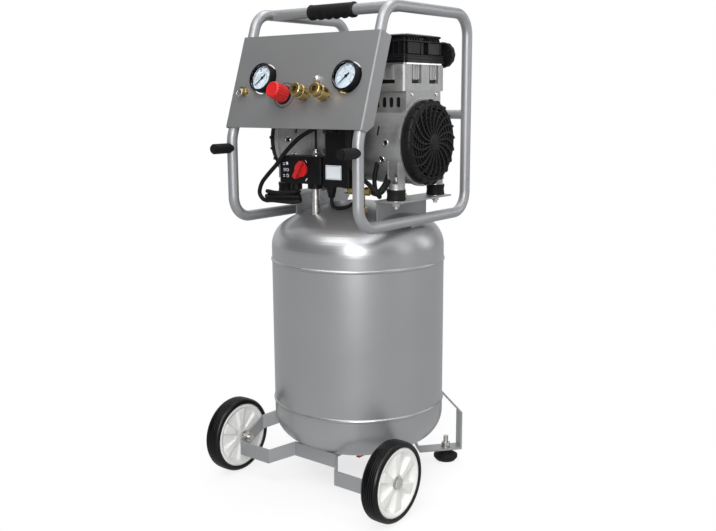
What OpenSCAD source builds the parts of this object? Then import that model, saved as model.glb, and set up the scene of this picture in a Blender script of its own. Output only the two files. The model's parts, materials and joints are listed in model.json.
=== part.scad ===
// Twin-cylinder oil-free air compressor on an upright tank with two wheels.
// +Z is up, the control panel faces -Y, and the origin is on the floor under the middle of the machine.

/* [Tank] */
// Outer radius of the tank
tank_r = 170; // [168:0.5:171]
// Plate thickness of the tank
tank_wall = 2.5; // [2:0.5:3]
// Height of the lower rolled seam
seam_low = 163; // [161:1:165]
// Height of the upper rolled seam
seam_high = 439; // [438:0.5:440]
// Straight flange on each dished head
head_flange = 30; // [28:1:31]
// Knuckle radius of the heads
knuckle_r = 55; // [52:1:58]
// Crown radius of the heads
crown_r = 280; // [270:1:290]

/* [Frame] */
// Radius of the frame tube
tube_r = 10; // [9:0.5:10]
// Wall of the frame tube
tube_wall = 1.5; // [1:0.25:2]
// Distance of each side loop from the middle
loop_x = 149.5; // [149:0.5:150]
// Height of the loops' lower tube
loop_low = 530; // [529:0.5:532]
// Height of the loops' upper tube
loop_high = 910; // [906:1:912]
// Bend radius of the loops' four main corners
loop_bend = 40; // [38:1:42]
// Radius of the handle grip
grip_r = 14.5; // [13:0.5:15]
// Length of the handle grip
grip_len = 106; // [100:1:120]

/* [Panel] */
// Half width of the panel, outside its flanges
panel_half = 161.5; // [161.5:0.5:163]
// Length of the panel up its slope
panel_len = 175; // [170:1:178]
// Tilt of the panel from upright, in degrees
panel_tilt = 18.8; // [18:0.1:19.5]
// Sheet thickness
sheet = 1.5; // [1:0.25:1.5]
// Depth of the side flanges
flange_depth = 30; // [24:1:31]
// Radius of the gauge cases
gauge_r = 26.5; // [26:0.5:27]

/* [Wheels] */
// Radius of the tyres
wheel_r = 75; // [74:0.5:76]
// Width of the tyres
tyre_w = 37; // [34:1:38]
// Distance of each wheel's middle plane from the machine's middle
wheel_x = 195.5; // [195:0.5:198]

/* [Pump] */
// Height of the motor shaft
shaft_z = 672; // [672:0.5:674]
// Outer radius of the crankcase drum
drum_r = 78; // [77:0.5:78]
// Distance of each cylinder's axis from the middle
cyl_x = 110; // [109:0.5:111]
// Bore radius of the cylinders
bore_r = 32; // [30:0.5:33]
// Throw of the eccentrics
throw = 8; // [6:0.5:8]
// Number of curved vanes on each fan cover
vanes = 21; // [18:1:24]

/* [Clearance] */
// Radial running clearance of turning and sliding parts
run = 0.05; // [0.03:0.01:0.08]

/* [Hidden] */
$fn = 72;
SMALL = 36;

silver = [0.72, 0.73, 0.74];
panel_grey = [0.52, 0.53, 0.54];
cast = [0.66, 0.66, 0.65];
black = [0.06, 0.06, 0.065];
brass = [0.72, 0.56, 0.27];
red = [0.80, 0.10, 0.09];
steel = [0.80, 0.80, 0.80];
white = [0.92, 0.92, 0.90];

// The tank's axis stands behind the origin, so that the origin is under the middle of the machine.
peg_tip_y = -241;
strap_out = 216;
foot_strap_w = 30;
foot_angle = 41;
foot_back_y = (strap_out + 2) * cos(foot_angle) + foot_strap_w / 2 * sin(foot_angle);
tank_y = -(peg_tip_y + foot_back_y) / 2;

// Side loops, in the plane of the loop
loop_front = -191;
loop_back = 156.5;
kink_z = 680;
kink_bend = 60;
loop_top_y = loop_front + (loop_high - kink_z) * tan(panel_tilt);
handle_y = loop_top_y + 41;
rear_tube_z = 720;
rear_tube_r = 9;
peg_z = 662;
peg_rod_r = 6;
peg_sleeve_r = 9.5;

// Control panel: a local frame with X to the right, Y up the slope and Z out of its face
panel_y = loop_front - 5.5;
panel_z = 701;
hole_play = 2;
gauge_left = [-85, 92];
gauge_right = [110.5, 92];
gauge_front = 13;
dial_z = 4;
knob_at = [-28, 61];
coupler_at = [[25, 61], [69.5, 61]];
valve_at = [-128, 68];
nut_at = [44.5, 89];

// Pump
pump_y = 8;
drum_in = 60;
drum_out = 143;
ring_out = 151;
ring_r = 81;
cavity_r = 72;
neck_top = 765 - shaft_z;
block_half = 62;
block_in = 69;
block_out = 150;
block_top = 812 - shaft_z;
plate_t = 3;
head_base = block_top + plate_t;
head_top = 869 - shaft_z;
cover_out = 175;
mount_x = 133.5;
mount_dy = 65.5;
flange_z = 568;
foot_z = 590;
bracket_x = 100.5;
shaft_r = 8;
seat_r = 16;
piston_z = 123;
piston_h = 10;
eccentric_r = 14;
sweep_r = eccentric_r + throw;

// Wheels and feet
axle_y = -156.5;
axle_r = 6;
hub_r = 64;
strap_x = 170;
strap_t = 4;
strap_h = 28;
foot_radius = 187;
foot_h = 17;
foot_plate_z = 24;

// ---------- helpers ----------

// Places children in the frame whose Z axis is the tank's axis.
module at_tank() translate([0, tank_y, 0]) children();

// Places children on the motor's axis.
module at_pump() at_tank() translate([0, pump_y, shaft_z]) children();

// Places children on the panel: X right, Y up the slope, Z out of the face.
module at_panel(p = [0, 0]) at_tank() translate([0, panel_y, panel_z])
    rotate([90 - panel_tilt, 0, 0]) translate([p.x, p.y, 0]) children();

// Draws children on one side of the machine: 1 is the right side, -1 the left.
module on_side(side) {
    if (side > 0) children();
    else mirror([1, 0, 0]) children();
}

// Draws children on both sides.
module both_sides() for (side = [-1, 1]) on_side(side) children();

// A round bar along X.
module x_rod(r, x0, x1) translate([x0, 0, 0]) rotate([0, 90, 0]) cylinder(r = r, h = x1 - x0);

// A round bar along Y.
module y_rod(r, y0, y1) translate([0, y0, 0]) rotate([-90, 0, 0]) cylinder(r = r, h = y1 - y0);

// A hexagonal bar, by its width across flats.
module hex_bar(flats, h) cylinder(r = flats / sqrt(3), h = h, $fn = 6);

// Corner points of a rounded rectangle centred on the origin.
function rounded_rect(w, h, r, n = 5) = [for (c = [[1, 1, 0], [-1, 1, 90], [-1, -1, 180], [1, -1, 270]])
    for (i = [0:n]) let (t = c.z + 90 * i / n)
        [c.x * (w / 2 - r) + r * cos(t), c.y * (h / 2 - r) + r * sin(t)]];

// A block with rounded upright edges, centred in X and Y.
module rounded_block(w, d, h, r) linear_extrude(h) polygon(rounded_rect(w, d, r));

// Directions and bends of a flat path.
function heading(a, b) = atan2(b.y - a.y, b.x - a.x);
function wrap(t) = t > 180 ? t - 360 : t < -180 ? t + 360 : t;
function turn(a, b, c) = wrap(heading(b, c) - heading(a, b));
function setback(a, b, c, bend) = bend * tan(abs(turn(a, b, c)) / 2);
function along(a, b, d) = a + (b - a) / norm(b - a) * d;

module ring_section(r, wall) difference() {
    circle(r = r);
    if (wall > 0) circle(r = r - wall);
}

// A tube along a flat path in the XY plane, with a bend radius at each inner corner.
// Straights are a hair thinner than bends and run a little way into them, which makes one clean solid.
lap = 0.5;
hair = 0.03;
module tube_path(points, bends, r, wall = 0, closed = false) {
    n = len(points);
    last = closed ? n - 1 : n - 2;
    back = [for (i = [0:n - 1]) !closed && (i == 0 || i == n - 1) ? 0
        : setback(points[(i + n - 1) % n], points[i], points[(i + 1) % n], bends[i])];
    for (i = [0:last]) {
        a = points[i];
        b = points[(i + 1) % n];
        lap_a = back[i] > 0 ? lap : 0;
        lap_b = back[(i + 1) % n] > 0 ? lap : 0;
        translate(along(a, b, back[i] - lap_a)) rotate([0, 90, heading(a, b)])
            linear_extrude(norm(b - a) - back[i] - back[(i + 1) % n] + lap_a + lap_b)
                ring_section(r - hair, wall > 0 ? wall - 2 * hair : 0);
    }
    for (i = [0:n - 1]) if (back[i] > 0) {
        a = points[(i + n - 1) % n];
        b = points[i];
        t = turn(a, b, points[(i + 1) % n]);
        side = t > 0 ? 1 : -1;
        h = heading(a, b);
        centre = along(b, a, back[i]) + bends[i] * side * [-sin(h), cos(h)];
        translate(centre) rotate(h - 90 * side + min(t, 0))
            rotate_extrude(angle = abs(t)) translate([bends[i], 0]) ring_section(r, wall);
    }
}

// Turns a flat path into the YZ plane (x becomes Y, y becomes Z) or the XZ plane.
module in_yz(x = 0) translate([x, 0, 0]) rotate([90, 0, 90]) children();
module in_xz(y = 0) translate([0, y, 0]) rotate([90, 0, 0]) children();

// ---------- tank ----------

// Half outline of a dished head above its seam: flange, knuckle and crown, drawn inwards by cut.
function knuckle_end() = asin((tank_r - knuckle_r) / (crown_r - knuckle_r));
function crown_base() = head_flange - (crown_r - knuckle_r) * cos(knuckle_end());
function head_outline(cut) = concat(
    [for (i = [0:10]) let (t = i / 10 * (90 - knuckle_end()))
        [tank_r - knuckle_r + (knuckle_r - cut) * cos(t), head_flange + (knuckle_r - cut) * sin(t)]],
    [for (i = [1:14]) let (t = knuckle_end() * (1 - i / 14))
        [(crown_r - cut) * sin(t), crown_base() + (crown_r - cut) * cos(t)]]);
head_h = crown_base() + crown_r;

module head_solid(cut = 0) rotate_extrude($fn = 144)
    polygon(concat([[0, 0], [tank_r - cut, 0]], head_outline(cut)));

// A hollow head with the rolled bead of its seam.
bead_r = 4;
bead_rise = 2;
module dished_head() {
    difference() {
        union() {
            head_solid();
            translate([0, 0, bead_r]) rotate_extrude($fn = 144)
                translate([tank_r - bead_rise, 0]) circle(r = bead_r, $fn = 24);
        }
        translate([0, 0, -0.01]) head_solid(tank_wall);
        translate([0, 0, -1]) cylinder(r = tank_r - tank_wall, h = bead_r * 2 + 2, $fn = 144);
    }
}

module tank_shell() color(silver) at_tank() difference() {
    translate([0, 0, seam_low]) cylinder(r = tank_r, h = seam_high - seam_low, $fn = 144);
    translate([0, 0, seam_low - 1]) cylinder(r = tank_r - tank_wall, h = seam_high - seam_low + 2, $fn = 144);
}

port_r = 9;
riser_at = [-27, -95];
tee_at = [74, -84];
check_at = [30, 112];

module tank_top_head() color(silver) at_tank() difference() {
    translate([0, 0, seam_high]) dished_head();
    for (p = [riser_at, tee_at, check_at])
        translate([p.x, p.y, seam_high + 20]) cylinder(r = port_r, h = head_h);
}

module tank_bottom_head() color(silver) at_tank() difference() {
    translate([0, 0, seam_low]) mirror([0, 0, 1]) dished_head();
    cylinder(r = port_r, h = seam_low - 20);
}

// The tank's outside as one solid, seams included, used to fit welded parts against it.
module tank_solid() {
    translate([0, 0, seam_low - 2 * bead_r]) cylinder(r = tank_r + bead_rise + 0.1, h = 8.1, $fn = 144);
    translate([0, 0, seam_low]) cylinder(r = tank_r, h = seam_high - seam_low, $fn = 144);
    translate([0, 0, seam_high]) head_solid();
    translate([0, 0, seam_low]) mirror([0, 0, 1]) head_solid();
}

// Ball valve under the tank: threaded neck, body, rear outlet and an upright stem for its lever.
drain_z = 36;
drain_bore_r = 4;
drain_stem_r = 2.5;
drain_stem_len = 7.5;
lever_size = [8, 42, 3];
module drain_valve_body() color(brass) at_tank() difference() {
    union() {
        translate([0, 0, drain_z]) cylinder(r = port_r - 1, h = seam_low - head_h + 6 - drain_z);
        translate([0, 0, drain_z - 8]) cylinder(r = 10, h = 16);
        translate([0, 0, drain_z]) y_rod(7, 0, 20);
        translate([0, 0, drain_z - 12]) cylinder(r = 5, h = 5);
    }
    translate([0, 0, drain_z]) cylinder(r = drain_bore_r, h = 60);
    translate([0, 0, drain_z]) y_rod(drain_bore_r, 0, 21);
    translate([0, 0, drain_z - 13]) cylinder(r = drain_stem_r + run, h = 7);
}

module drain_valve_lever() color(red) at_tank() {
    translate([0, 0, drain_z - 14]) cylinder(r = drain_stem_r, h = drain_stem_len);
    translate([-lever_size.x / 2, -4, drain_z - 16]) cube(lever_size);
}

// ---------- wheels, straps and feet ----------

// Outline of a flat strip of thickness t along a path, with mitred corners.
function unit(a, b) = (b - a) / norm(b - a);
function side_of(u) = [-u.y, u.x];
function ribbon_point(points, i, t) =
    let (n = len(points) - 1,
        u = unit(points[max(i - 1, 0)], points[max(i, 1)]),
        v = unit(points[min(i, n - 1)], points[min(i + 1, n)]))
    points[i] + (side_of(u) + side_of(v)) * t / (1 + u * v);

module ribbon(points, t) polygon(concat(
    [for (i = [0:len(points) - 1]) ribbon_point(points, i, t / 2)],
    [for (i = [len(points) - 1:-1:0]) ribbon_point(points, i, -t / 2)]));

// The band between two heights that follows a path, drawn as [distance, height].
module strap_band(points) polygon(concat(
    [for (p = points) [p.x, p.y - strap_h / 2]],
    [for (i = [len(points) - 1:-1:0]) [points[i].x, points[i].y + strap_h / 2]]));

// The wheel strap is a flat bar on edge: its outline from above, cut to bands that give its height.
strap_front = [[-8, -138], [53, -138], [84, -181], [152, -181]];
strap_side = [[148, -181], [160, -181], [strap_x, -171], [strap_x, -108], [118, -56]];

module wheel_strap() color(silver) at_tank() difference() {
    union() {
        both_sides() {
            intersection() {
                linear_extrude(150) ribbon(strap_front, strap_t);
                in_xz(-100) linear_extrude(100) strap_band([[-10, 71], [53, 71], [84, 60], [160, 60]]);
            }
            intersection() {
                linear_extrude(150) ribbon(strap_side, strap_t);
                in_yz(100) linear_extrude(100) strap_band([[-200, 60], [-170, 60], [-108, 91], [-40, 121]]);
            }
        }
        translate([-22, -138, 58]) cube([44, 60, 26]);
    }
    tank_solid();
    both_sides() translate([0, axle_y, wheel_r]) x_rod(axle_r + 0.2, strap_x - 10, strap_x + 10);
}

// Each foot strap runs down from the tank's side, in under the foot's bolt and up to the lower head.
foot_strap_t = 4;
foot_bolt_r = 5;
foot_points = [[160, 168], [strap_out, 105], [strap_out, foot_plate_z + foot_strap_t / 2],
    [128, foot_plate_z + foot_strap_t / 2], [100, 90]];

// Places children at one foot's bearing: X runs outwards from the tank's axis.
module at_foot(side) on_side(side) rotate(90 - foot_angle) children();

module foot_straps() color(silver) at_tank() difference() {
    for (side = [-1, 1]) at_foot(side) rotate([90, 0, 0]) translate([0, 0, -foot_strap_w / 2])
        linear_extrude(foot_strap_w) ribbon(foot_points, foot_strap_t);
    tank_solid();
    for (side = [-1, 1]) at_foot(side) translate([foot_radius, 0, 10])
        cylinder(r = foot_bolt_r + 0.2, h = 30);
}

// Places children on both feet, on the bolt's axis.
module at_feet() at_tank() for (side = [-1, 1]) at_foot(side) translate([foot_radius, 0, 0]) children();

// Rubber foot: it widens from the floor, then narrows to a neck under the strap.
foot_r = 25;
foot_neck_r = 12;
module rubber_feet() color(black) at_feet() difference() {
    union() {
        cylinder(r1 = foot_r - 5, r2 = foot_r, h = 6);
        translate([0, 0, 6]) cylinder(r = foot_r, h = 5);
        translate([0, 0, 11]) cylinder(r1 = foot_r, r2 = foot_neck_r + 2, h = foot_h - 11);
        translate([0, 0, foot_h]) cylinder(r = foot_neck_r, h = foot_plate_z - foot_h);
    }
    translate([0, 0, 8]) cylinder(r = foot_bolt_r, h = 20);
}

module foot_bolts() color(steel) at_feet() {
    translate([0, 0, 8]) cylinder(r = foot_bolt_r, h = 44, $fn = SMALL);
    translate([0, 0, foot_plate_z + foot_strap_t]) cylinder(r = 10, h = 2, $fn = SMALL);
    translate([0, 0, foot_plate_z + foot_strap_t + 2]) hex_bar(16, 8);
}

// Tyre outline from the hub's rim outwards: round shoulders and four tread grooves.
tyre_h = wheel_r - hub_r;
groove_w = 1.5;
module tyre_section() difference() {
    translate([hub_r, -tyre_w / 2]) union() {
        translate([0, 1]) square([5, tyre_w - 2]);
        polygon([[4, 1], [8, 2.5], [tyre_h - 1, 9], [tyre_h, 14],
            [tyre_h, tyre_w - 14], [tyre_h - 1, tyre_w - 9], [8, tyre_w - 2.5], [4, tyre_w - 1]]);
    }
    for (y = [-9:6:9]) translate([wheel_r - groove_w, y - groove_w / 2]) square([2 * groove_w, groove_w]);
}

// Places children on a wheel's axis, with local Z pointing outwards from the machine.
module at_wheel(side) at_tank() on_side(side)
    translate([wheel_x, axle_y, wheel_r]) rotate([0, 90, 0]) children();

module tyre(side) color(black) at_wheel(side) rotate_extrude($fn = 120) tyre_section();

// Hub: rim, web and six broad spokes with a pocket between each pair. Each corner is [radius, angle].
hub_w = 34;
hub_web = 8;
pocket_corners = [[19, -12], [55, -22], [55, 22], [19, 12]];
module hub(side) color(white) at_wheel(side) difference() {
    translate([0, 0, -hub_w / 2]) rotate_extrude($fn = 120)
        polygon([[0, 0], [hub_r, 0], [hub_r, hub_w], [58, hub_w], [54, hub_w - 4], [16, hub_w - 4],
            [13, hub_w - 8], [0, hub_w - 8]]);
    for (face = [0, 1]) mirror([0, 0, face]) for (k = [0:5]) rotate(60 * k) translate([0, 0, hub_web / 2])
        linear_extrude(20) polygon([for (c = pocket_corners) c[0] * [cos(c[1]), sin(c[1])]]);
    translate([0, 0, -hub_w / 2 - 1]) cylinder(r = axle_r + run, h = hub_w + 6);
}

module left_tyre() tyre(-1);
module right_tyre() tyre(1);
module left_hub() hub(-1);
module right_hub() hub(1);

module axle_bolts() color(steel) at_tank() both_sides() translate([0, axle_y, wheel_r]) {
    x_rod(axle_r, strap_x - 16, wheel_x + 12);
    x_rod(11, strap_x + 2, strap_x + 4);
    x_rod(11, wheel_x + 9.5, wheel_x + 11);
    translate([wheel_x + 11, 0, 0]) rotate([0, 90, 0]) hex_bar(18, 7);
    translate([strap_x - 11, 0, 0]) rotate([0, 90, 0]) hex_bar(18, 9);
}

// ---------- frame ----------

loop_points = [[loop_front, loop_low], [loop_back, loop_low], [loop_back, loop_high],
    [loop_top_y, loop_high], [loop_front, kink_z]];
loop_bends = [loop_bend, loop_bend, loop_bend, loop_bend, kink_bend];

module side_loop(wall) in_yz(loop_x) tube_path(loop_points, loop_bends, tube_r, wall, closed = true);

module side_frames() color(silver) at_tank() both_sides() side_loop(tube_wall);

// Short welded tabs under the loops' inner sides that carry them on the tank's shoulder.
module frame_tabs() color(silver) at_tank() difference() {
    both_sides() translate([loop_x - 17, -22, loop_low - 40]) cube([12, 44, 42]);
    tank_solid();
    both_sides() side_loop(0);
}

module handle_tube() color(silver) at_tank() difference() {
    translate([0, handle_y, loop_high]) difference() {
        x_rod(tube_r, -loop_x, loop_x);
        x_rod(tube_r - tube_wall, -loop_x - 1, loop_x + 1);
    }
    both_sides() side_loop(0);
}

// Moulded grip with finger grooves along its underside.
module handle_grip() color(black) at_tank() translate([0, handle_y, loop_high]) difference() {
    union() {
        x_rod(grip_r, 4 - grip_len / 2, grip_len / 2 - 4);
        both_sides() x_rod(grip_r - 1.5, grip_len / 2 - 4, grip_len / 2);
    }
    x_rod(tube_r, -grip_len, grip_len);
    for (i = [-2:2]) translate([i * 20, 0, -grip_r - 9.5]) y_rod(12, -grip_r, grip_r);
}

module rear_cross_tube() color(silver) at_tank() difference() {
    translate([0, loop_back, rear_tube_z]) difference() {
        x_rod(rear_tube_r, -loop_x, loop_x);
        x_rod(rear_tube_r - tube_wall, -loop_x - 1, loop_x + 1);
    }
    both_sides() side_loop(0);
}

module peg_rods() color(silver) at_tank() difference() {
    both_sides() translate([loop_x, 0, peg_z]) y_rod(peg_rod_r, peg_tip_y + 3, loop_front);
    both_sides() side_loop(0);
}

module peg_sleeves() color(black) at_tank() difference() {
    both_sides() translate([loop_x, 0, peg_z]) difference() {
        union() {
            y_rod(peg_sleeve_r, peg_tip_y + 3, loop_front - 4);
            y_rod(peg_sleeve_r - 2, peg_tip_y, peg_tip_y + 3);
        }
        y_rod(peg_rod_r, peg_tip_y + 3, loop_front);
    }
    both_sides() side_loop(0);
}

// ---------- control panel ----------

// Panel section across its width: a shallow channel with rounded folds.
module panel_section(inset) {
    w = 2 * (panel_half - inset);
    translate([0, -flange_depth / 2 - 10]) polygon(rounded_rect(w, flange_depth + 20 - 2 * inset, 4 - inset));
}

// Cut corner at the foot of each flange, and each hole in the face: its centre and radius.
flange_notch = 16;
panel_holes = [[gauge_left, gauge_r + hole_play], [gauge_right, gauge_r + hole_play], [knob_at, 12],
    [coupler_at[0], 9], [coupler_at[1], 9], [valve_at, 8], [nut_at, 4.5]];

module control_panel() color(panel_grey) at_panel() difference() {
    translate([0, panel_len, 0]) rotate([90, 0, 0]) linear_extrude(panel_len) difference() {
        panel_section(0);
        panel_section(sheet);
    }
    translate([-200, -1, -80]) cube([400, panel_len + 2, 80 - flange_depth]);
    for (s = [-1, 1]) translate([s * panel_half - 5, 0, -flange_depth]) rotate([0, 90, 0])
        cylinder(r = flange_notch, h = 10, $fn = 4);
    for (hole = panel_holes) translate([hole[0].x, hole[0].y, -sheet - 1])
        cylinder(r = hole[1], h = sheet + 2);
}

gauge_rim = 3;
needle_hub_r = 1.2;

module at_gauges() for (g = [gauge_left, gauge_right]) at_panel(g) children();

module gauge_cases() color(black) at_gauges() difference() {
    union() {
        translate([0, 0, -14]) cylinder(r = gauge_r - 1.5, h = 14);
        cylinder(r = gauge_r, h = gauge_front - 1);
        translate([0, 0, gauge_front - 1]) cylinder(r1 = gauge_r, r2 = gauge_r - 1, h = 1);
        translate([0, 0, -38]) cylinder(r = 6, h = 26);
        translate([0, 0, -26]) hex_bar(14, 8);
    }
    translate([0, 0, dial_z]) cylinder(r = gauge_r - gauge_rim, h = 20);
    translate([0, 0, -50]) cylinder(r = 2.5, h = 50);
}

module gauge_dials() color(white) at_gauges() difference() {
    translate([0, 0, dial_z]) cylinder(r = gauge_r - gauge_rim, h = 1);
    translate([0, 0, dial_z - 1]) cylinder(r = needle_hub_r, h = 4);
}

// Needle at zero: it points to the lower left, with its counterweight at the upper right.
module needle(at) color(black) at_panel(at) rotate(225) translate([0, 0, dial_z]) {
    translate([0, 0, 0.2]) cylinder(r = needle_hub_r - run, h = 3);
    translate([0, 0, 2]) cylinder(r = 2.6, h = 1.6);
    translate([0, 0, 2.4]) linear_extrude(0.8)
        polygon([[-8, -1.5], [-8, 1.5], [2, 0.9], [19, 0.25], [19, -0.25], [2, -0.9]]);
}

module left_needle() needle(gauge_left);
module right_needle() needle(gauge_right);

module gauge_lenses() color([0.8, 0.85, 0.9, 0.3]) at_gauges()
    translate([0, 0, gauge_front - 3.5]) cylinder(r = gauge_r - gauge_rim, h = 2);

module regulator_body() color(brass) at_panel(knob_at) {
    translate([0, 0, -52]) cylinder(r = 19, h = 40);
    translate([0, 0, -58]) hex_bar(24, 6);
    translate([0, 0, -12]) cylinder(r = 11, h = 15);
    translate([0, 0, 3]) cylinder(r = 5, h = 26);
    translate([0, 0, -29]) x_rod(6, 10, -6 - knob_at.x);
}

module regulator_nut() color(black) at_panel(knob_at) difference() {
    cylinder(r = 17, h = 3);
    translate([0, 0, -1]) cylinder(r = 11, h = 5);
}

knob_r = 15;
module regulator_knob() color(red) at_panel(knob_at) difference() {
    union() {
        translate([0, 0, 4]) cylinder(r = knob_r, h = 29);
        translate([0, 0, 33]) cylinder(r1 = knob_r, r2 = knob_r - 1.6, h = 2);
        for (k = [0:23]) rotate(15 * k) translate([knob_r - 0.2, 0, 5]) cylinder(r = 1.1, h = 27, $fn = 16);
    }
    translate([0, 0, 3]) cylinder(r = 5 + run, h = 27);
}

module manifold_shape() at_panel() {
    translate([-6, 48, -42]) cube([92, 29, 26]);
    translate([nut_at.x - 9, 76, -30]) cube([18, 22, 14]);
}

module manifold_block() color(brass) difference() {
    manifold_shape();
    at_panel() translate([0, knob_at.y, -29]) x_rod(5, -7, 80);
}

// Quick coupler: hex, track for the sleeve, and a front collar with a blind socket.
coupler_socket_r = 5.25;
socket_depth = 16;
coupler_len = 35;
coupler_track_r = 9;
collar_r = 11.2;
module coupler_bodies() color(brass) for (c = coupler_at) at_panel(c) difference() {
    union() {
        translate([0, 0, -16]) cylinder(r = 7, h = 18);
        hex_bar(17, 3.5);
        translate([0, 0, 3]) cylinder(r = coupler_track_r, h = coupler_len - 6);
        translate([0, 0, coupler_len - 9]) cylinder(r = collar_r, h = 8);
        translate([0, 0, coupler_len - 1]) cylinder(r1 = collar_r, r2 = collar_r - 1, h = 1);
    }
    translate([0, 0, coupler_len - socket_depth]) cylinder(r = coupler_socket_r, h = socket_depth + 1);
}

sleeve_r = 12.6;
module coupler_sleeve(c) color(brass) at_panel(c) difference() {
    union() {
        translate([0, 0, 9]) cylinder(r = sleeve_r, h = 12.5);
        translate([0, 0, 21.5]) cylinder(r1 = sleeve_r, r2 = sleeve_r - 1, h = 2);
    }
    translate([0, 0, 8]) cylinder(r = coupler_track_r + run, h = 30);
}

module left_coupler_sleeve() coupler_sleeve(coupler_at[0]);
module right_coupler_sleeve() coupler_sleeve(coupler_at[1]);

valve_stem_r = 1.5;
module safety_valve_body() color(brass) at_panel(valve_at) difference() {
    union() {
        translate([0, 0, -20]) cylinder(r = 6.5, h = 20);
        hex_bar(15, 5);
        translate([0, 0, 5]) cylinder(r = 6.5, h = 6);
    }
    translate([0, 0, -12]) cylinder(r = valve_stem_r + run, h = 30);
}

module safety_valve_pull() color(steel) at_panel(valve_at) {
    translate([0, 0, -6]) cylinder(r = valve_stem_r, h = 21.6, $fn = SMALL);
    translate([0, 0, 11.2]) cylinder(r = 4, h = 1.4, $fn = SMALL);
    translate([0, -6, 14]) rotate_extrude($fn = SMALL) translate([6.5, 0]) circle(r = 1, $fn = 24);
}

// ---------- pump ----------

// Motor: a slotted housing around the laminated core, with the rotor on a shaft between the two fans.
housing_r = 76;
stator_r = 70;
stator_half = 33;
rotor_r = 44;
fan_r = 62;
module motor_housing() color(cast) at_pump() difference() {
    x_rod(housing_r, -drum_in, drum_in);
    x_rod(stator_r, -drum_in - 1, drum_in + 1);
    for (k = [0:11]) rotate([30 * k + 15, 0, 0]) translate([-34, -5, 60]) cube([68, 10, 30]);
}

module stator_core() color([0.35, 0.33, 0.32]) at_pump() difference() {
    x_rod(stator_r, -stator_half, stator_half);
    x_rod(rotor_r + 0.5, -stator_half - 1, stator_half + 1);
}

module rotor_shaft() color(steel) at_pump() {
    x_rod(shaft_r, -ring_out + 3, ring_out - 3);
    x_rod(rotor_r, -stator_half, stator_half);
    for (side = [-1, 1]) on_side(side) translate([0, side * throw, 0])
        x_rod(eccentric_r, cyl_x - 5, cyl_x + 5);
}

module cooling_fans() color(black) at_pump() both_sides() difference() {
    union() {
        x_rod(15, 128, 146);
        x_rod(fan_r, 128, 130);
        for (k = [0:8]) rotate([40 * k, 0, 0]) translate([129, -1.5, 10]) cube([14, 3, 55]);
    }
    x_rod(shaft_r, 120, 150);
}

module shaft_bearings() color(steel) at_pump() both_sides() difference() {
    x_rod(seat_r, drum_in, drum_in + 6);
    x_rod(shaft_r + run, drum_in - 1, drum_in + 7);
}

// One crankcase: drum, end ring, neck under the cylinder, and two feet with ribs.
neck_inset = 6;
mount_hole_r = 4.2;
module crankcase() difference() {
    union() {
        x_rod(drum_r, drum_in, drum_out);
        x_rod(ring_r, drum_out, ring_out);
        translate([block_in + 3, neck_inset - block_half, 0])
            cube([block_out - block_in - 4, 2 * (block_half - neck_inset), neck_top]);
        for (y = [-mount_dy, mount_dy]) translate([mount_x, y, foot_z - shaft_z]) {
            cylinder(r = 14, h = 9);
            for (x = [-12.5, 9.5]) translate([x, -10, 8]) cube([3, 20, 42]);
        }
    }
    x_rod(cavity_r, drum_in + 6, ring_out + 1);
    x_rod(seat_r, drum_in - 1, drum_in + 7);
    translate([cyl_x, 0, 0]) cylinder(r = bore_r + 2, h = neck_top + 1);
    for (y = [-mount_dy, mount_dy]) translate([mount_x, y, foot_z - shaft_z - 1])
        cylinder(r = mount_hole_r, h = 30);
    vent_slots();
    drum_openings();
}

// Four upright vents in the neck's front and back faces.
module vent_slots() for (x = [84:15.5:131]) translate([x, 0, neck_top - 20]) rotate([90, 0, 0])
    for (y = [-80, 44]) translate([0, 0, y]) linear_extrude(36) polygon(rounded_rect(9.5, 19, 4));

// Cooling openings in the drum's front and back: a slot above the shaft's height and two round holes.
// Each hole is [distance along the shaft, angle from upright].
drum_slot = [98.7, 73];
drum_holes = [[117.8, 89], [106, 112]];
drum_hole_r = 4.5;
module drum_openings() for (face = [-1, 1]) {
    rotate([face * drum_slot[1], 0, 0]) translate([drum_slot[0], 0, 0])
        linear_extrude(drum_r + 4) polygon(rounded_rect(5, 19, 2.2));
    for (hole = drum_holes) rotate([face * hole[1], 0, 0]) translate([hole[0], 0, 0])
        cylinder(r = drum_hole_r, h = drum_r + 4, $fn = SMALL);
}

module crankcases() color(cast) at_pump() both_sides() crankcase();

// One cylinder: base, finned liner, and a shroud with a recess over each window at its foot.
block_w = block_out - block_in;
block_mid = (block_out + block_in) / 2;
block_h = block_top - neck_top;
block_base = 13;
shroud = 4;
window_z = block_base + 0.5;
window_h = 7;
recess_z = 23;
module cylinder_block() translate([block_mid, 0, neck_top]) difference() {
    union() {
        rounded_block(block_w, 2 * block_half, block_base, 5);
        difference() {
            rounded_block(block_w, 2 * block_half, block_h, 5);
            translate([0, 0, -1])
                rounded_block(block_w - 2 * shroud, 2 * (block_half - shroud), block_h + 2, 3);
            for (a = [0, 180]) rotate(a) {
                translate([-19, -block_half - 1, window_z]) cube([38, 30, window_h]);
                translate([-17, -block_half - 1, recess_z]) cube([34, 3.5, block_h - recess_z + 1]);
                for (y = [-27, 27]) {
                    translate([block_w / 2 - 20, y - 17, window_z]) cube([30, 34, window_h]);
                    translate([block_w / 2 - 2.5, y - 15, recess_z]) cube([4, 30, block_h - recess_z + 1]);
                }
            }
        }
        translate([cyl_x - block_mid, 0, 0]) cylinder(r = bore_r + 3, h = block_h);
        for (z = [22:6.5:42]) translate([-30, -50, z]) cube([60, 100, 2.5]);
    }
    translate([cyl_x - block_mid, 0, -1]) cylinder(r = bore_r, h = block_h + 2);
}

module cylinder_blocks() color(cast) at_pump() both_sides() cylinder_block();

module valve_plates() color(steel) at_pump() both_sides() difference() {
    translate([block_mid, 0, block_top]) rounded_block(block_w, 2 * block_half, plate_t, 5);
    for (y = [-14, 14]) translate([cyl_x, y, block_top - 1]) cylinder(r = 5, h = plate_t + 2);
}

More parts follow.
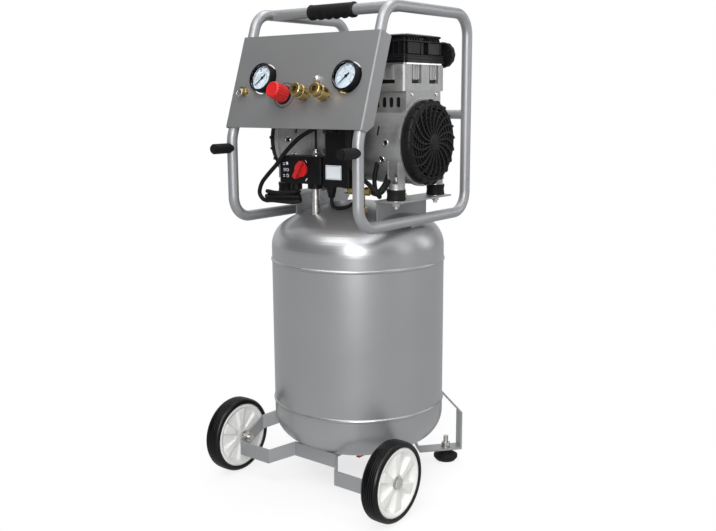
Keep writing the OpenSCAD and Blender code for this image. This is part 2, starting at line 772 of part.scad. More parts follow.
// One head cover: banded base, crowned top with vents, and raised square pads on its sides.
cover_w = block_w + 4;
cover_d = 2 * block_half + 4;
cover_h = head_top - head_base;
cover_band = 14;
cover_crown = 260;
module head_cover() translate([block_mid, 0, head_base]) difference() {
    union() {
        rounded_block(cover_w, cover_d, cover_band, 6);
        translate([0, 0, cover_band]) rounded_block(cover_w - 6, cover_d - 6, 3, 6);
        intersection() {
            translate([0, 0, cover_band + 3]) rounded_block(cover_w - 2, cover_d - 2, cover_h, 6);
            translate([-100, 0, cover_h - cover_crown]) rotate([0, 90, 0])
                cylinder(r = cover_crown, h = 200, $fn = 180);
        }
    }
    translate([0, 0, -1]) rounded_block(cover_w - 8, cover_d - 8, 33, 4);
    for (a = [0, 180]) rotate(a) {
        for (y = [-50, -18, 14, 46]) translate([cover_w / 2 - 5, y - 5, 19]) cube([10, 10, 15]);
        for (x = [-24, 0, 24]) translate([x - 4, -cover_d / 2 - 5, 19]) cube([8, 10, 15]);
    }
    for (y = [-54:6:54]) translate([cover_w / 2 - 6, y - 1.5, 36]) cube([12, 3, 12]);
}

// The tube that joins the two heads.
head_tube_r = 8;
head_tube_h = head_base + 22;
module head_covers() color(black) at_pump() difference() {
    both_sides() head_cover();
    translate([0, 0, head_tube_h]) x_rod(head_tube_r, -90, 90);
}

module head_tube() color(steel) at_pump() translate([0, 0, head_tube_h]) difference() {
    x_rod(head_tube_r, -block_in - 4, block_in + 4);
    x_rod(head_tube_r - 1.5, -block_in - 5, block_in + 5);
}

intake_r = 24;
module intake_filters() color(black) at_pump() both_sides() translate([cyl_x + 30, 0, head_base + 17]) {
    translate([-12, 0, 0]) y_rod(7, block_half + 2, block_half + 7);
    difference() {
        union() {
            y_rod(intake_r, block_half + 6, block_half + 18);
            y_rod(intake_r - 3, block_half + 18, block_half + 20);
        }
        for (k = [0:15]) rotate([0, 22.5 * k, 0]) translate([intake_r - 0.4, 0, 0])
            y_rod(1.2, block_half + 8, block_half + 16);
    }
}

// Piston disc, rod and an open yoke that leaves room for the eccentric's whole sweep.
yoke_t = 10;
module piston() {
    half_w = sweep_r + 1;
    half_h = sweep_r + throw + 1;
    translate([cyl_x, 0, 0]) {
        translate([0, 0, piston_z - piston_h / 2]) cylinder(r = bore_r - run, h = piston_h);
        translate([-yoke_t / 2, -9, half_h + 4]) cube([yoke_t, 18, piston_z - piston_h / 2 - half_h - 3]);
        difference() {
            translate([-yoke_t / 2, -half_w - 6, -half_h - 6])
                cube([yoke_t, 2 * half_w + 12, 2 * half_h + 12]);
            translate([-yoke_t / 2 - 1, -half_w, -half_h]) cube([yoke_t + 2, 2 * half_w, 2 * half_h]);
        }
    }
}

module left_piston() color(steel) at_pump() on_side(-1) piston();
module right_piston() color(steel) at_pump() on_side(1) piston();

// Angle along a vane's arc at which it reaches a radius from the cover's axis.
vane_bend = 72;
function vane_angle(r) = 2 * asin(r / (2 * vane_bend));

// One fan cover, drawn around local Z: rim, concentric grid, curved vanes and a hub disc.
rim_r = 77.5;
rim_wall = 5;
guard_hub_r = 14;
module fan_cover() {
    face = cover_out - 3;
    difference() {
        union() {
            translate([0, 0, ring_out]) cylinder(r = rim_r, h = face - ring_out - 4);
            translate([0, 0, face - 4]) cylinder(r1 = rim_r, r2 = rim_r - 4, h = 4);
        }
        translate([0, 0, ring_out - 1]) cylinder(r = rim_r - rim_wall, h = 40);
    }
    for (r = [22:11:66]) difference() {
        translate([0, 0, face - 6]) cylinder(r = r + 1.6, h = 3);
        translate([0, 0, face - 7]) cylinder(r = r - 1.6, h = 5);
    }
    for (k = [0:vanes - 1]) rotate(360 / vanes * k) translate([0, vane_bend, face - 8])
        rotate(vane_angle(guard_hub_r - 2) - 90)
            rotate_extrude(angle = vane_angle(rim_r - rim_wall + 0.5) - vane_angle(guard_hub_r - 2))
            translate([vane_bend - 1.2, 0]) square([2.4, 7]);
    translate([0, 0, face - 9]) cylinder(r = guard_hub_r, h = cover_out - face + 8);
    translate([0, 0, cover_out - 1]) cylinder(r1 = guard_hub_r, r2 = guard_hub_r - 1, h = 1);
}

module fan_covers() color(black) at_pump() both_sides() rotate([0, 90, 0]) fan_cover();

// Upright plate on the tank's shoulder with a flange turned outwards under the rubber mounts.
bracket_t = 3;
module motor_brackets() color(silver) at_tank() difference() {
    both_sides() {
        translate([bracket_x - bracket_t, -70, 500]) cube([bracket_t, 162, flange_z - 500]);
        translate([bracket_x - bracket_t, -76, flange_z - bracket_t]) cube([56, 176, bracket_t]);
    }
    tank_solid();
    both_sides() for (y = [-mount_dy, mount_dy])
        translate([mount_x, pump_y + y, flange_z - bracket_t - 1])
            cylinder(r = mount_hole_r, h = bracket_t + 3);
}

module at_mounts() at_tank() both_sides() for (y = [-mount_dy, mount_dy])
    translate([mount_x, pump_y + y, 0]) children();

mount_r = 17.8;
mount_bolt_r = 4;
module rubber_mounts() color(black) at_mounts() difference() {
    translate([0, 0, flange_z]) cylinder(r = mount_r, h = foot_z - flange_z);
    translate([0, 0, flange_z - 1]) cylinder(r = mount_bolt_r, h = 30);
}

module mount_bolts() color(steel) at_mounts() {
    translate([0, 0, flange_z - 15]) cylinder(r = mount_bolt_r, h = 58, $fn = SMALL);
    translate([0, 0, flange_z - 10]) hex_bar(13, 7);
    translate([0, 0, foot_z + 9]) hex_bar(11, 6);
}

// Weld pads between the panel's flanges and the loops: [up the slope, depth behind the face].
weld_pads = [[22, -14], [150, -14]];

// Domed nut on the panel, weld pads behind its flanges, and the screws in each crankcase neck.
module small_fasteners() color(steel) {
    at_panel(nut_at) {
        translate([0, 0, -16]) cylinder(r = 4, h = 17, $fn = SMALL);
        hex_bar(13, 5);
        translate([0, 0, 5]) rotate_extrude($fn = SMALL)
            polygon([for (i = [0:6]) [6 * cos(15 * i), 5 * sin(15 * i)], [0, 0]]);
    }
    both_sides() for (p = weld_pads) at_panel() translate([loop_x + tube_r, p.x, p.y]) rotate([0, 90, 0])
        cylinder(r = 4, h = panel_half - sheet - loop_x - tube_r, $fn = SMALL);
    at_pump() both_sides() for (y = [-40, 40]) translate([block_out - 1, y, neck_top - 6]) rotate([0, 90, 0])
        cylinder(r1 = 3.4, r2 = 2.6, h = 2, $fn = SMALL);
}

// ---------- switch, boxes, pipes and cord ----------

switch_min = [-97, -118, 595];
switch_size = [102, 40, 51];
switch_knob_at = [-40, 622];
switch_stem_r = 4;
riser_r = 7.5;
riser_bore_r = 5;

module pressure_switch() color(black) at_tank() difference() {
    union() {
        translate(switch_min + [switch_size.x / 2, switch_size.y / 2, 0])
            rounded_block(switch_size.x, switch_size.y, switch_size.z - 2, 3);
        translate(switch_min + [switch_size.x / 2, switch_size.y / 2, switch_size.z - 2])
            rounded_block(switch_size.x - 4, switch_size.y - 4, 2, 2);
        translate([riser_at.x, riser_at.y, switch_min.z - 10]) cylinder(r = 15, h = 10);
        translate([riser_at.x - 48, riser_at.y, switch_min.z - 14]) cylinder(r = 11, h = 14);
    }
    translate([riser_at.x, riser_at.y, switch_min.z - 11]) cylinder(r = riser_r, h = 20);
    translate([switch_knob_at.x, 0, switch_knob_at.y])
        y_rod(switch_stem_r + run, switch_min.y - 1, switch_min.y + 16);
}

// Round red knob with a raised finger wing.
module switch_knob() color(red) at_tank() translate([switch_knob_at.x, 0, switch_knob_at.y]) {
    y_rod(switch_stem_r, switch_min.y - 2, switch_min.y + 12);
    y_rod(14, switch_min.y - 6, switch_min.y - 1);
    rotate([0, 30, 0]) translate([-4, switch_min.y - 16, -17]) cube([8, 11, 34]);
}

module switch_riser() color(steel) at_tank() translate([riser_at.x, riser_at.y, 0]) difference() {
    translate([0, 0, 528]) cylinder(r = riser_r, h = switch_min.z + 9 - 528);
    translate([0, 0, 520]) cylinder(r = riser_bore_r, h = 100);
}

// Terminal box beside the switch, with a blank plate on its front and the capacitor box on top.
terminal_min = [5.5, -114, 592];
terminal_size = [62, 38, 54];
capacitor_size = [70, 34, 78];
module terminal_box() color(black) at_tank() {
    translate(terminal_min + [terminal_size.x / 2, terminal_size.y / 2, 0])
        rounded_block(terminal_size.x, terminal_size.y, terminal_size.z, 3);
    translate(terminal_min + [36, 18, terminal_size.z])
        rounded_block(capacitor_size.x, capacitor_size.y, capacitor_size.z, 10);
    translate(terminal_min + [10, -1, 14]) cube([36, 2, 26]);
}

// Air lines: tank tee, supply hose to the manifold, delivery pipe to the check valve, unloader tube.
hose_r = 5;
hose_y = -122;
hose_top = 752;
unloader_r = 2.2;
unloader_at = riser_at.x + 2;
unloader_end = 30;
unloader_top = 740;
head_tube_z = shaft_z + head_tube_h;
module air_lines() {
    at_tank() color(brass) {
        translate([tee_at.x, tee_at.y, 528]) cylinder(r = 7, h = 63.5);
        translate([tee_at.x, tee_at.y, 545]) hex_bar(20, 10);
        translate([tee_at.x, tee_at.y, 585]) x_rod(6, -40, 20);
        translate([check_at.x, check_at.y, 528]) cylinder(r = 8, h = 34);
        translate([check_at.x, check_at.y, 545]) hex_bar(22, 12);
    }
    color(black) difference() {
        at_tank() in_yz(tee_at.x) tube_path([[tee_at.y, 588], [tee_at.y, 602], [hose_y, 636],
            [hose_y, hose_top], [hose_y - 24, hose_top]], [0, 14, 16, 12, 0], hose_r);
        manifold_shape();
    }
    color(steel) at_tank() difference() {
        in_yz(check_at.x) tube_path([[check_at.y, 560], [check_at.y, head_tube_z], [pump_y, head_tube_z]],
            [0, 20, 0], hose_r);
        translate([0, pump_y, head_tube_z]) x_rod(head_tube_r, 0, 60);
    }
    color(steel) at_tank() translate([unloader_at, riser_at.y, switch_min.z + switch_size.z])
        cylinder(r = 4, h = 12);
    color(black) at_tank() in_xz(riser_at.y) tube_path([[unloader_at, 656], [unloader_at, unloader_top],
        [unloader_end, unloader_top], [unloader_end, terminal_min.z + terminal_size.z + capacitor_size.z]],
        [0, 8, 8, 0], unloader_r);
}

cord_r = 3.8;
cord_y = -122;
coil_r = 20;
coil_at = [-112, -98, 544];

// Mains cord: down from behind the panel, round the left side, and coiled on the tank's shoulder.
module power_cord() color(black) at_tank() {
    in_xz(cord_y) tube_path([[-40, 712], [-66, 664], [-152, 592], [-166, coil_at.z], [coil_at.x, coil_at.z]],
        [0, 40, 28, 14, 0], cord_r);
    for (i = [0:2]) translate(coil_at + [0, 0, 7.9 * i]) rotate_extrude($fn = 48)
        translate([coil_r - i, 0]) circle(r = cord_r, $fn = 24);
}

tank_shell();
tank_top_head();
tank_bottom_head();
drain_valve_body();
drain_valve_lever();
wheel_strap();
foot_straps();
rubber_feet();
foot_bolts();
left_tyre();
left_hub();
right_tyre();
right_hub();
axle_bolts();
side_frames();
frame_tabs();
handle_tube();
handle_grip();
rear_cross_tube();
peg_rods();
peg_sleeves();
control_panel();
gauge_cases();
gauge_dials();
left_needle();
right_needle();
gauge_lenses();
regulator_body();
regulator_nut();
regulator_knob();
manifold_block();
coupler_bodies();
left_coupler_sleeve();
right_coupler_sleeve();
safety_valve_body();
safety_valve_pull();
motor_housing();
stator_core();
rotor_shaft();
cooling_fans();
shaft_bearings();
crankcases();
cylinder_blocks();
valve_plates();
head_covers();
head_tube();
left_piston();
right_piston();
fan_covers();
intake_filters();
motor_brackets();
rubber_mounts();
mount_bolts();
small_fasteners();
pressure_switch();
switch_knob();
switch_riser();
terminal_box();
air_lines();
power_cord();
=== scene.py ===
"""Studio scene of a wheeled twin-cylinder air compressor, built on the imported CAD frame."""

import json
import math

import bmesh
import bpy
from mathutils import Matrix, Vector
from mathutils.bvhtree import BVHTree
from mathutils.geometry import barycentric_transform

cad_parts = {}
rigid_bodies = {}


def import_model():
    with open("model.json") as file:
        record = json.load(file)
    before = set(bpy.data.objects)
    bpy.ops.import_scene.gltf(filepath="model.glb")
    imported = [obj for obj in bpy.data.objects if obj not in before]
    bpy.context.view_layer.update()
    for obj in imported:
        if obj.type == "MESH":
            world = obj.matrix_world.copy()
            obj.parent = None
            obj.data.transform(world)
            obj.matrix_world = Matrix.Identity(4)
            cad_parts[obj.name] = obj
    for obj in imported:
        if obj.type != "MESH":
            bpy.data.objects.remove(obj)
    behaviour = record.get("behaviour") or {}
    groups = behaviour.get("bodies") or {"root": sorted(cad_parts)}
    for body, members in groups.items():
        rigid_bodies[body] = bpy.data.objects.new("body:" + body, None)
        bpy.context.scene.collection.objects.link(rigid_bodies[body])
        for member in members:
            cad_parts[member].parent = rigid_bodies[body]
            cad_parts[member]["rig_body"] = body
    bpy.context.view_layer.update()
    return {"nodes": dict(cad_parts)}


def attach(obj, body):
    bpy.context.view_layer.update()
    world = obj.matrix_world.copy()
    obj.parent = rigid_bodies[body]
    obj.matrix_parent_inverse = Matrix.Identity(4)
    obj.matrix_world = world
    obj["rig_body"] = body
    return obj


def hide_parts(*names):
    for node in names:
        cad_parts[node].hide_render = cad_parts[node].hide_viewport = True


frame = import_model()
nodes = frame["nodes"]

# ---------- dimensions shared by the pieces, in millimetres ----------

MM = 0.001
PEG_TIP_Y = -241
FOOT_ANGLE = math.radians(41)
FOOT_BACK_Y = 218 * math.cos(FOOT_ANGLE) + 15 * math.sin(FOOT_ANGLE)
TANK_Y = -(PEG_TIP_Y + FOOT_BACK_Y) / 2
WHEEL = (195.5, -156.5, 75)
WHEEL_R = 75
HUB_R = 64
PANEL_ORIGIN = (0, -196.5, 701)
PANEL_TILT = math.radians(18.8)
GAUGES = {"left": (-85, 92), "right": (110.5, 92)}
GAUGE_FACE = 5
KNOB = (-28, 61)
HANDLE = (-191 + 230 * math.tan(PANEL_TILT) + 41, 910)
GRIP_LENGTH = 106
SHAFT = (8, 672)
RING_OUT = 151
COVER_OUT = 175
HEAD_BASE = 143
HEAD_TOP = 197
HEAD_MID_X = 109.5
BLOCK_HALF = 62
SWITCH_FRONT = -118
TERMINAL_FRONT = -114


# ---------- places ----------

def place(x=0.0, y=0.0, z=0.0):
    """A shift from the tank's axis at floor height, in millimetres."""
    return Matrix.Translation((x, y + TANK_Y, z))


def turn(axis, degrees):
    return Matrix.Rotation(math.radians(degrees), 4, axis)


def shift(x=0.0, y=0.0, z=0.0):
    return Matrix.Translation((x, y, z))


PANEL = place(*PANEL_ORIGIN) @ Matrix.Rotation(math.pi / 2 - PANEL_TILT, 4, "X")
MIRROR = {"right": Matrix.Identity(4), "left": Matrix.Diagonal((-1, 1, 1, 1))}


def outward(side, x, y, z):
    """A frame at a point on one side of the machine, with its Z axis pointing away from the middle."""
    return MIRROR[side] @ place(x, y, z) @ turn("Y", 90)


# ---------- materials ----------

class Nodes:
    """Short calls for building one material's node tree."""

    def __init__(self, name):
        self.material = bpy.data.materials.new(name)
        self.material.use_nodes = True
        self.tree = self.material.node_tree
        self.bsdf = self.tree.nodes["Principled BSDF"]
        self.where = self.tree.nodes.new("ShaderNodeTexCoord").outputs["Object"]

    def link(self, source, target):
        self.tree.links.new(source, target)

    def add(self, kind, **inputs):
        node = self.tree.nodes.new(kind)
        for key, value in inputs.items():
            socket = node.inputs[key.replace("_", " ").title() if key.islower() else key]
            if isinstance(value, bpy.types.NodeSocket):
                self.link(value, socket)
            else:
                socket.default_value = value
        return node

    def noise(self, scale, detail=3.0, stretch=None):
        where = self.where
        if stretch:
            mapping = self.add("ShaderNodeMapping", vector=self.where)
            mapping.inputs["Scale"].default_value = stretch
            where = mapping.outputs["Vector"]
        node = self.add("ShaderNodeTexNoise", vector=where, scale=scale, detail=detail)
        return node.outputs["Fac"]

    def remap(self, value, low, high, to_low, to_high):
        node = self.add("ShaderNodeMapRange")
        self.link(value, node.inputs["Value"])
        for key, number in (("From Min", low), ("From Max", high), ("To Min", to_low), ("To Max", to_high)):
            node.inputs[key].default_value = number
        return node.outputs["Result"]

    def mix(self, factor, a, b):
        node = self.tree.nodes.new("ShaderNodeMix")
        node.data_type = "RGBA"
        for key, value in ((0, factor), (6, a), (7, b)):
            if isinstance(value, bpy.types.NodeSocket):
                self.link(value, node.inputs[key])
            else:
                node.inputs[key].default_value = value
        return node.outputs[2]

    def bump(self, height, strength, distance, normal=None):
        node = self.add("ShaderNodeBump", strength=strength, distance=distance, height=height)
        if normal is not None:
            self.link(normal, node.inputs["Normal"])
        return node.outputs["Normal"]


def rgba(colour, factor=1.0):
    return (*[min(1.0, c * factor) for c in colour], 1.0)


def finish(name, colour, rough, metallic=0.0, mottle=0.08, mottle_scale=14.0, rough_spread=0.08,
           grain=0.2, grain_scale=1200.0, grain_depth=0.0001, stretch=None, dust=0.0, edge=None, coat=0.0,
           flake=0.0, specular=0.5):
    """A surface with colour variation, uneven gloss, fine relief, light dust on top and worn edges."""
    n = Nodes(name)
    broad = n.noise(mottle_scale, 4.0)
    tone = n.mix(n.remap(broad, 0.3, 0.7, 0.0, 1.0), rgba(colour, 1 - mottle), rgba(colour, 1 + mottle))
    speck = n.noise(grain_scale, 2.0, stretch)
    tone = n.mix(n.remap(speck, 0.35, 0.65, 0.0, min(1.0, mottle * 2)), tone, rgba(colour, 0.8))
    if flake:
        cells = n.add("ShaderNodeTexVoronoi", vector=n.where, scale=2600.0)
        tone = n.mix(n.remap(cells.outputs["Color"], 0.0, 1.0, 0.0, flake), tone, rgba(colour, 1.5))
    if edge:
        soft = n.add("ShaderNodeBevel", radius=0.0012)
        soft.samples = 4
        sharp = n.tree.nodes.new("ShaderNodeNewGeometry").outputs["Normal"]
        match = n.tree.nodes.new("ShaderNodeVectorMath")
        match.operation = "DOT_PRODUCT"
        n.link(soft.outputs["Normal"], match.inputs[0])
        n.link(sharp, match.inputs[1])
        worn = n.remap(match.outputs["Value"], 0.99, 0.9, 0.0, 0.7)
        tone = n.mix(worn, tone, rgba(edge))
    if dust:
        up = n.tree.nodes.new("ShaderNodeSeparateXYZ")
        n.link(n.tree.nodes.new("ShaderNodeNewGeometry").outputs["Normal"], up.inputs[0])
        patch = n.remap(n.noise(60.0, 5.0), 0.4, 0.8, 0.0, dust)
        settle = n.remap(up.outputs["Z"], 0.3, 1.0, 0.0, 1.0)
        both = n.tree.nodes.new("ShaderNodeMath")
        both.operation = "MULTIPLY"
        n.link(patch, both.inputs[0])
        n.link(settle, both.inputs[1])
        tone = n.mix(both.outputs[0], tone, (0.45, 0.43, 0.40, 1.0))
    n.link(tone, n.bsdf.inputs["Base Color"])
    gloss = n.remap(broad, 0.3, 0.7, rough - rough_spread / 2, rough + rough_spread / 2)
    n.link(gloss, n.bsdf.inputs["Roughness"])
    n.bsdf.inputs["Metallic"].default_value = metallic
    n.bsdf.inputs["Specular IOR Level"].default_value = specular
    n.bsdf.inputs["Coat Weight"].default_value = coat
    n.bsdf.inputs["Coat Roughness"].default_value = 0.12
    relief = n.bump(speck, grain, grain_depth)
    n.link(n.bump(broad, min(0.1, grain), 0.0006, relief), n.bsdf.inputs["Normal"])
    return n.material


def clear_lens():
    """Clear acrylic that hardly tints what is behind it, with faint smears in its gloss."""
    n = Nodes("lens")
    n.bsdf.inputs["Base Color"].default_value = (0.93, 0.97, 1.0, 1.0)
    n.bsdf.inputs["Transmission Weight"].default_value = 1.0
    n.bsdf.inputs["IOR"].default_value = 1.12
    n.link(n.remap(n.noise(90.0, 4.0), 0.3, 0.7, 0.0, 0.06), n.bsdf.inputs["Roughness"])
    return n.material


silver_paint = finish("silver_paint", (0.385, 0.39, 0.40), 0.34, 0.75, mottle=0.05, mottle_scale=5.0,
                      grain=0.12, grain_scale=900.0, flake=0.35, dust=0.05)
panel_paint = finish("panel_paint", (0.235, 0.238, 0.242), 0.42, 0.5, mottle=0.05, mottle_scale=7.0,
                     grain=0.15, grain_scale=1000.0, flake=0.25)
frame_paint = finish("frame_paint", (0.335, 0.342, 0.354), 0.44, 0.6, mottle=0.06, mottle_scale=9.0,
                     grain=0.12, grain_scale=900.0, flake=0.35, dust=0.05)
cast_aluminium = finish("cast_aluminium", (0.42, 0.424, 0.424), 0.48, 0.75, mottle=0.16, mottle_scale=38.0,
                        rough_spread=0.2, grain=0.55, grain_scale=520.0, grain_depth=0.0003,
                        edge=(0.75, 0.75, 0.73))
machined_aluminium = finish("machined_aluminium", (0.68, 0.68, 0.67), 0.24, 0.95, mottle=0.06,
                            mottle_scale=30.0, grain=0.2, grain_scale=600.0, stretch=(30.0, 1.0, 1.0))
zinc_steel = finish("zinc_steel", (0.62, 0.61, 0.58), 0.28, 0.95, mottle=0.12, mottle_scale=80.0,
                    rough_spread=0.15, grain=0.25, grain_scale=900.0)
core_steel = finish("core_steel", (0.25, 0.24, 0.23), 0.5, 0.8, mottle=0.2, mottle_scale=50.0,
                    grain=0.5, grain_scale=300.0, stretch=(8.0, 1.0, 1.0))
brass = finish("brass", (0.50, 0.37, 0.15), 0.3, 0.95, mottle=0.2, mottle_scale=70.0, rough_spread=0.16,
               grain=0.25, grain_scale=800.0, edge=(0.7, 0.56, 0.3))
black_plastic = finish("black_plastic", (0.007, 0.007, 0.008), 0.42, mottle=0.25, mottle_scale=40.0,
                       rough_spread=0.12, grain=0.4, grain_scale=1500.0, edge=(0.02, 0.02, 0.022),
                       dust=0.005, specular=0.16)
black_gloss = finish("black_gloss", (0.005, 0.005, 0.006), 0.24, mottle=0.25, mottle_scale=30.0,
                     rough_spread=0.12, grain=0.2, grain_scale=900.0, edge=(0.04, 0.04, 0.045),
                     coat=0.02, specular=0.1)
black_rubber = finish("black_rubber", (0.008, 0.008, 0.009), 0.6, mottle=0.3, mottle_scale=60.0,
                      rough_spread=0.2, grain=0.5, grain_scale=1300.0, dust=0.01, specular=0.2)
tyre_rubber = finish("tyre_rubber", (0.003, 0.003, 0.0035), 0.34, mottle=0.3, mottle_scale=45.0,
                     rough_spread=0.12, grain=0.35, grain_scale=1100.0, dust=0.003, specular=0.3)
hub_plastic = finish("hub_plastic", (0.80, 0.80, 0.78), 0.38, mottle=0.04, mottle_scale=25.0,
                     grain=0.2, grain_scale=1100.0)
dial_white = finish("dial_white", (0.80, 0.85, 0.89), 0.5, mottle=0.03, mottle_scale=80.0,
                    grain=0.1, grain_scale=2000.0)
print_ink = finish("print_ink", (0.02, 0.021, 0.024), 0.5, mottle=0.3, mottle_scale=200.0,
                   grain=0.1, grain_scale=2000.0)
red_plastic = finish("red_plastic", (0.56, 0.012, 0.014), 0.36, mottle=0.1, mottle_scale=50.0,
                     rough_spread=0.12, grain=0.3, grain_scale=1300.0, edge=(0.8, 0.1, 0.09))
lens = clear_lens()

# ---------- finishes of the CAD nodes: material and width of the rounded edges in millimetres ----------

CAD_FINISH = {
    "tank_shell": (silver_paint, 0), "tank_top_head": (silver_paint, 0),
    "tank_bottom_head": (silver_paint, 0),
    "drain_valve_body": (brass, 0.3), "drain_valve_lever": (red_plastic, 0.5),
    "wheel_strap": (frame_paint, 0.6), "foot_straps": (frame_paint, 0.6),
    "rubber_feet": (black_rubber, 0.8), "foot_bolts": (zinc_steel, 0.3), "axle_bolts": (zinc_steel, 0.4),
    "side_frames": (frame_paint, 0), "frame_tabs": (frame_paint, 0.5), "handle_tube": (frame_paint, 0),
    "rear_cross_tube": (frame_paint, 0), "peg_rods": (frame_paint, 0), "peg_sleeves": (black_rubber, 0.9),
    "control_panel": (panel_paint, 0.3), "gauge_cases": (black_gloss, 0.4), "gauge_dials": (dial_white, 0),
    "left_needle": (print_ink, 0.1), "right_needle": (print_ink, 0.1), "gauge_lenses": (lens, 0.2),
    "regulator_body": (brass, 0.4), "regulator_nut": (black_plastic, 0.5), "manifold_block": (brass, 0.5),
    "coupler_bodies": (brass, 0.35), "left_coupler_sleeve": (brass, 0.4),
    "right_coupler_sleeve": (brass, 0.4),
    "safety_valve_body": (brass, 0.3), "safety_valve_pull": (zinc_steel, 0.2),
    "motor_housing": (cast_aluminium, 0.5), "stator_core": (core_steel, 0.3),
    "rotor_shaft": (zinc_steel, 0.3),
    "cooling_fans": (black_plastic, 0.3), "shaft_bearings": (zinc_steel, 0.3),
    "crankcases": (cast_aluminium, 0.6), "valve_plates": (machined_aluminium, 0.3),
    "head_tube": (machined_aluminium, 0.2), "left_piston": (machined_aluminium, 0.3),
    "right_piston": (machined_aluminium, 0.3), "motor_brackets": (frame_paint, 0.4),
    "mount_bolts": (zinc_steel, 0.3), "small_fasteners": (zinc_steel, 0.15),
    "pressure_switch": (black_plastic, 0.7), "switch_knob": (red_plastic, 0.8),
    "switch_riser": (zinc_steel, 0.3), "terminal_box": (black_plastic, 0.8),
}


def true_normals(rounded_mesh, cad_mesh):
    """Corner normals for a mesh with rounded edges: the CAD surface's own, blended across the rounding."""
    surface = BVHTree.FromPolygons([v.co for v in cad_mesh.vertices],
                                   [p.vertices for p in cad_mesh.polygons])

    def cad_normal(point):
        spot, _, face, _ = surface.find_nearest(point)
        triangle = cad_mesh.polygons[face]
        corners = [cad_mesh.vertices[i].co for i in triangle.vertices]
        directions = [cad_mesh.corner_normals[i].vector for i in triangle.loop_indices]
        return barycentric_transform(spot, *corners, *directions).normalized(), (spot - point).length

    normals = []
    for polygon in rounded_mesh.polygons:
        middle = polygon.center
        on_surface, gap = cad_normal(middle)
        is_rounding = polygon.normal.dot(on_surface) < ROUNDING_COSINE
        for corner in polygon.loop_indices:
            vertex = rounded_mesh.vertices[rounded_mesh.loops[corner].vertex_index]
            if not is_rounding:
                normals.append(cad_normal(vertex.co.lerp(middle, 0.03))[0])
                continue
            normal, gap = cad_normal(vertex.co)
            normals.append(normal if gap < ON_SURFACE else vertex.normal.copy())
    return normals


ROUNDING_COSINE = math.cos(math.radians(12))
ON_SURFACE = 2e-6


def soften(node, material, width):
    """A piece in place of a CAD node, with its sharp edges rounded by a width in millimetres."""
    source = nodes[node]
    weld = source.modifiers.new("weld", "WELD")
    weld.merge_threshold = 1e-6
    bevel = source.modifiers.new("edges", "BEVEL")
    bevel.width = width * MM
    bevel.segments = 2
    bevel.limit_method = "ANGLE"
    bevel.angle_limit = math.radians(32)
    mesh = bpy.data.meshes.new_from_object(source.evaluated_get(bpy.context.evaluated_depsgraph_get()))
    source.modifiers.clear()
    mesh.name = f"{node}_softened"
    mesh.polygons.foreach_set("use_smooth", [True] * len(mesh.polygons))
    mesh.normals_split_custom_set(true_normals(mesh, source.data))
    mesh.materials.clear()
    mesh.materials.append(material)
    obj = bpy.data.objects.new(mesh.name, mesh)
    bpy.context.scene.collection.objects.link(obj)
    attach(obj, source["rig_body"])
    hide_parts(node)


def paint_node(name, material, width):
    if width:
        soften(name, material, width)
        return
    mesh = nodes[name].data
    mesh.materials.clear()
    mesh.materials.append(material)


# ---------- building pieces in mesh code ----------

class Shape:
    """Vertices in millimetres and faces, gathered from simple swept and turned forms."""

    def __init__(self):
        self.verts = []
        self.faces = []

    def add(self, verts, faces, at=None):
        base = len(self.verts)
        at = at or Matrix.Identity(4)
        self.verts += [at @ Vector(v) for v in verts]
        self.faces += [[base + i for i in face] for face in faces]
        return self

    def rows(self, rows, closed=False, at=None, loop=False):
        """A grid of points: closed makes each row a ring, and loop joins the last row to the first."""
        size = len(rows[0])
        verts = [p for row in rows for p in row]
        faces = []
        for j in range(len(rows) if loop else len(rows) - 1):
            for i in range(size if closed else size - 1):
                a, b = j * size, (j + 1) % len(rows) * size
                k = (i + 1) % size
                faces.append([a + i, a + k, b + k, b + i])
        return self.add(verts, faces, at)

    def lathe(self, profile, steps=96, at=None, loop=False):
        """Profile points (radius, height) turned round Z."""
        rows = []
        for r, z in profile:
            rows.append([(r * math.cos(t), r * math.sin(t), z)
                         for t in (2 * math.pi * i / steps for i in range(steps))])
        return self.rows(rows, closed=True, at=at, loop=loop)

    def prism(self, outline, low, high, at=None):
        """A flat outline raised from low to high along Z."""
        size = len(outline)
        verts = [(x, y, low) for x, y in outline] + [(x, y, high) for x, y in outline]
        faces = [[i, (i + 1) % size, size + (i + 1) % size, size + i] for i in range(size)]
        faces += [list(range(size))[::-1], list(range(size, 2 * size))]
        return self.add(verts, faces, at)

    def sweep(self, path, section, up=(0, 0, 1), at=None, loop=False):
        """A section (sideways, upwards) carried along a path of points."""
        points = [Vector(p) for p in path]
        rows = []
        for i, p in enumerate(points):
            before = points[i - 1] if i or loop else points[i]
            after = points[(i + 1) % len(points)] if i + 1 < len(points) or loop else points[i]
            ahead = (after - before).normalized()
            side = ahead.cross(Vector(up)).normalized()
            top = side.cross(ahead)
            rows.append([p + side * u + top * v for u, v in section])
        first = len(self.verts)
        self.rows(rows, closed=True, at=at, loop=loop)
        if not loop:
            size = len(section)
            self.faces.append([first + i for i in range(size)][::-1])
            self.faces.append([first + (len(rows) - 1) * size + i for i in range(size)])
        return self


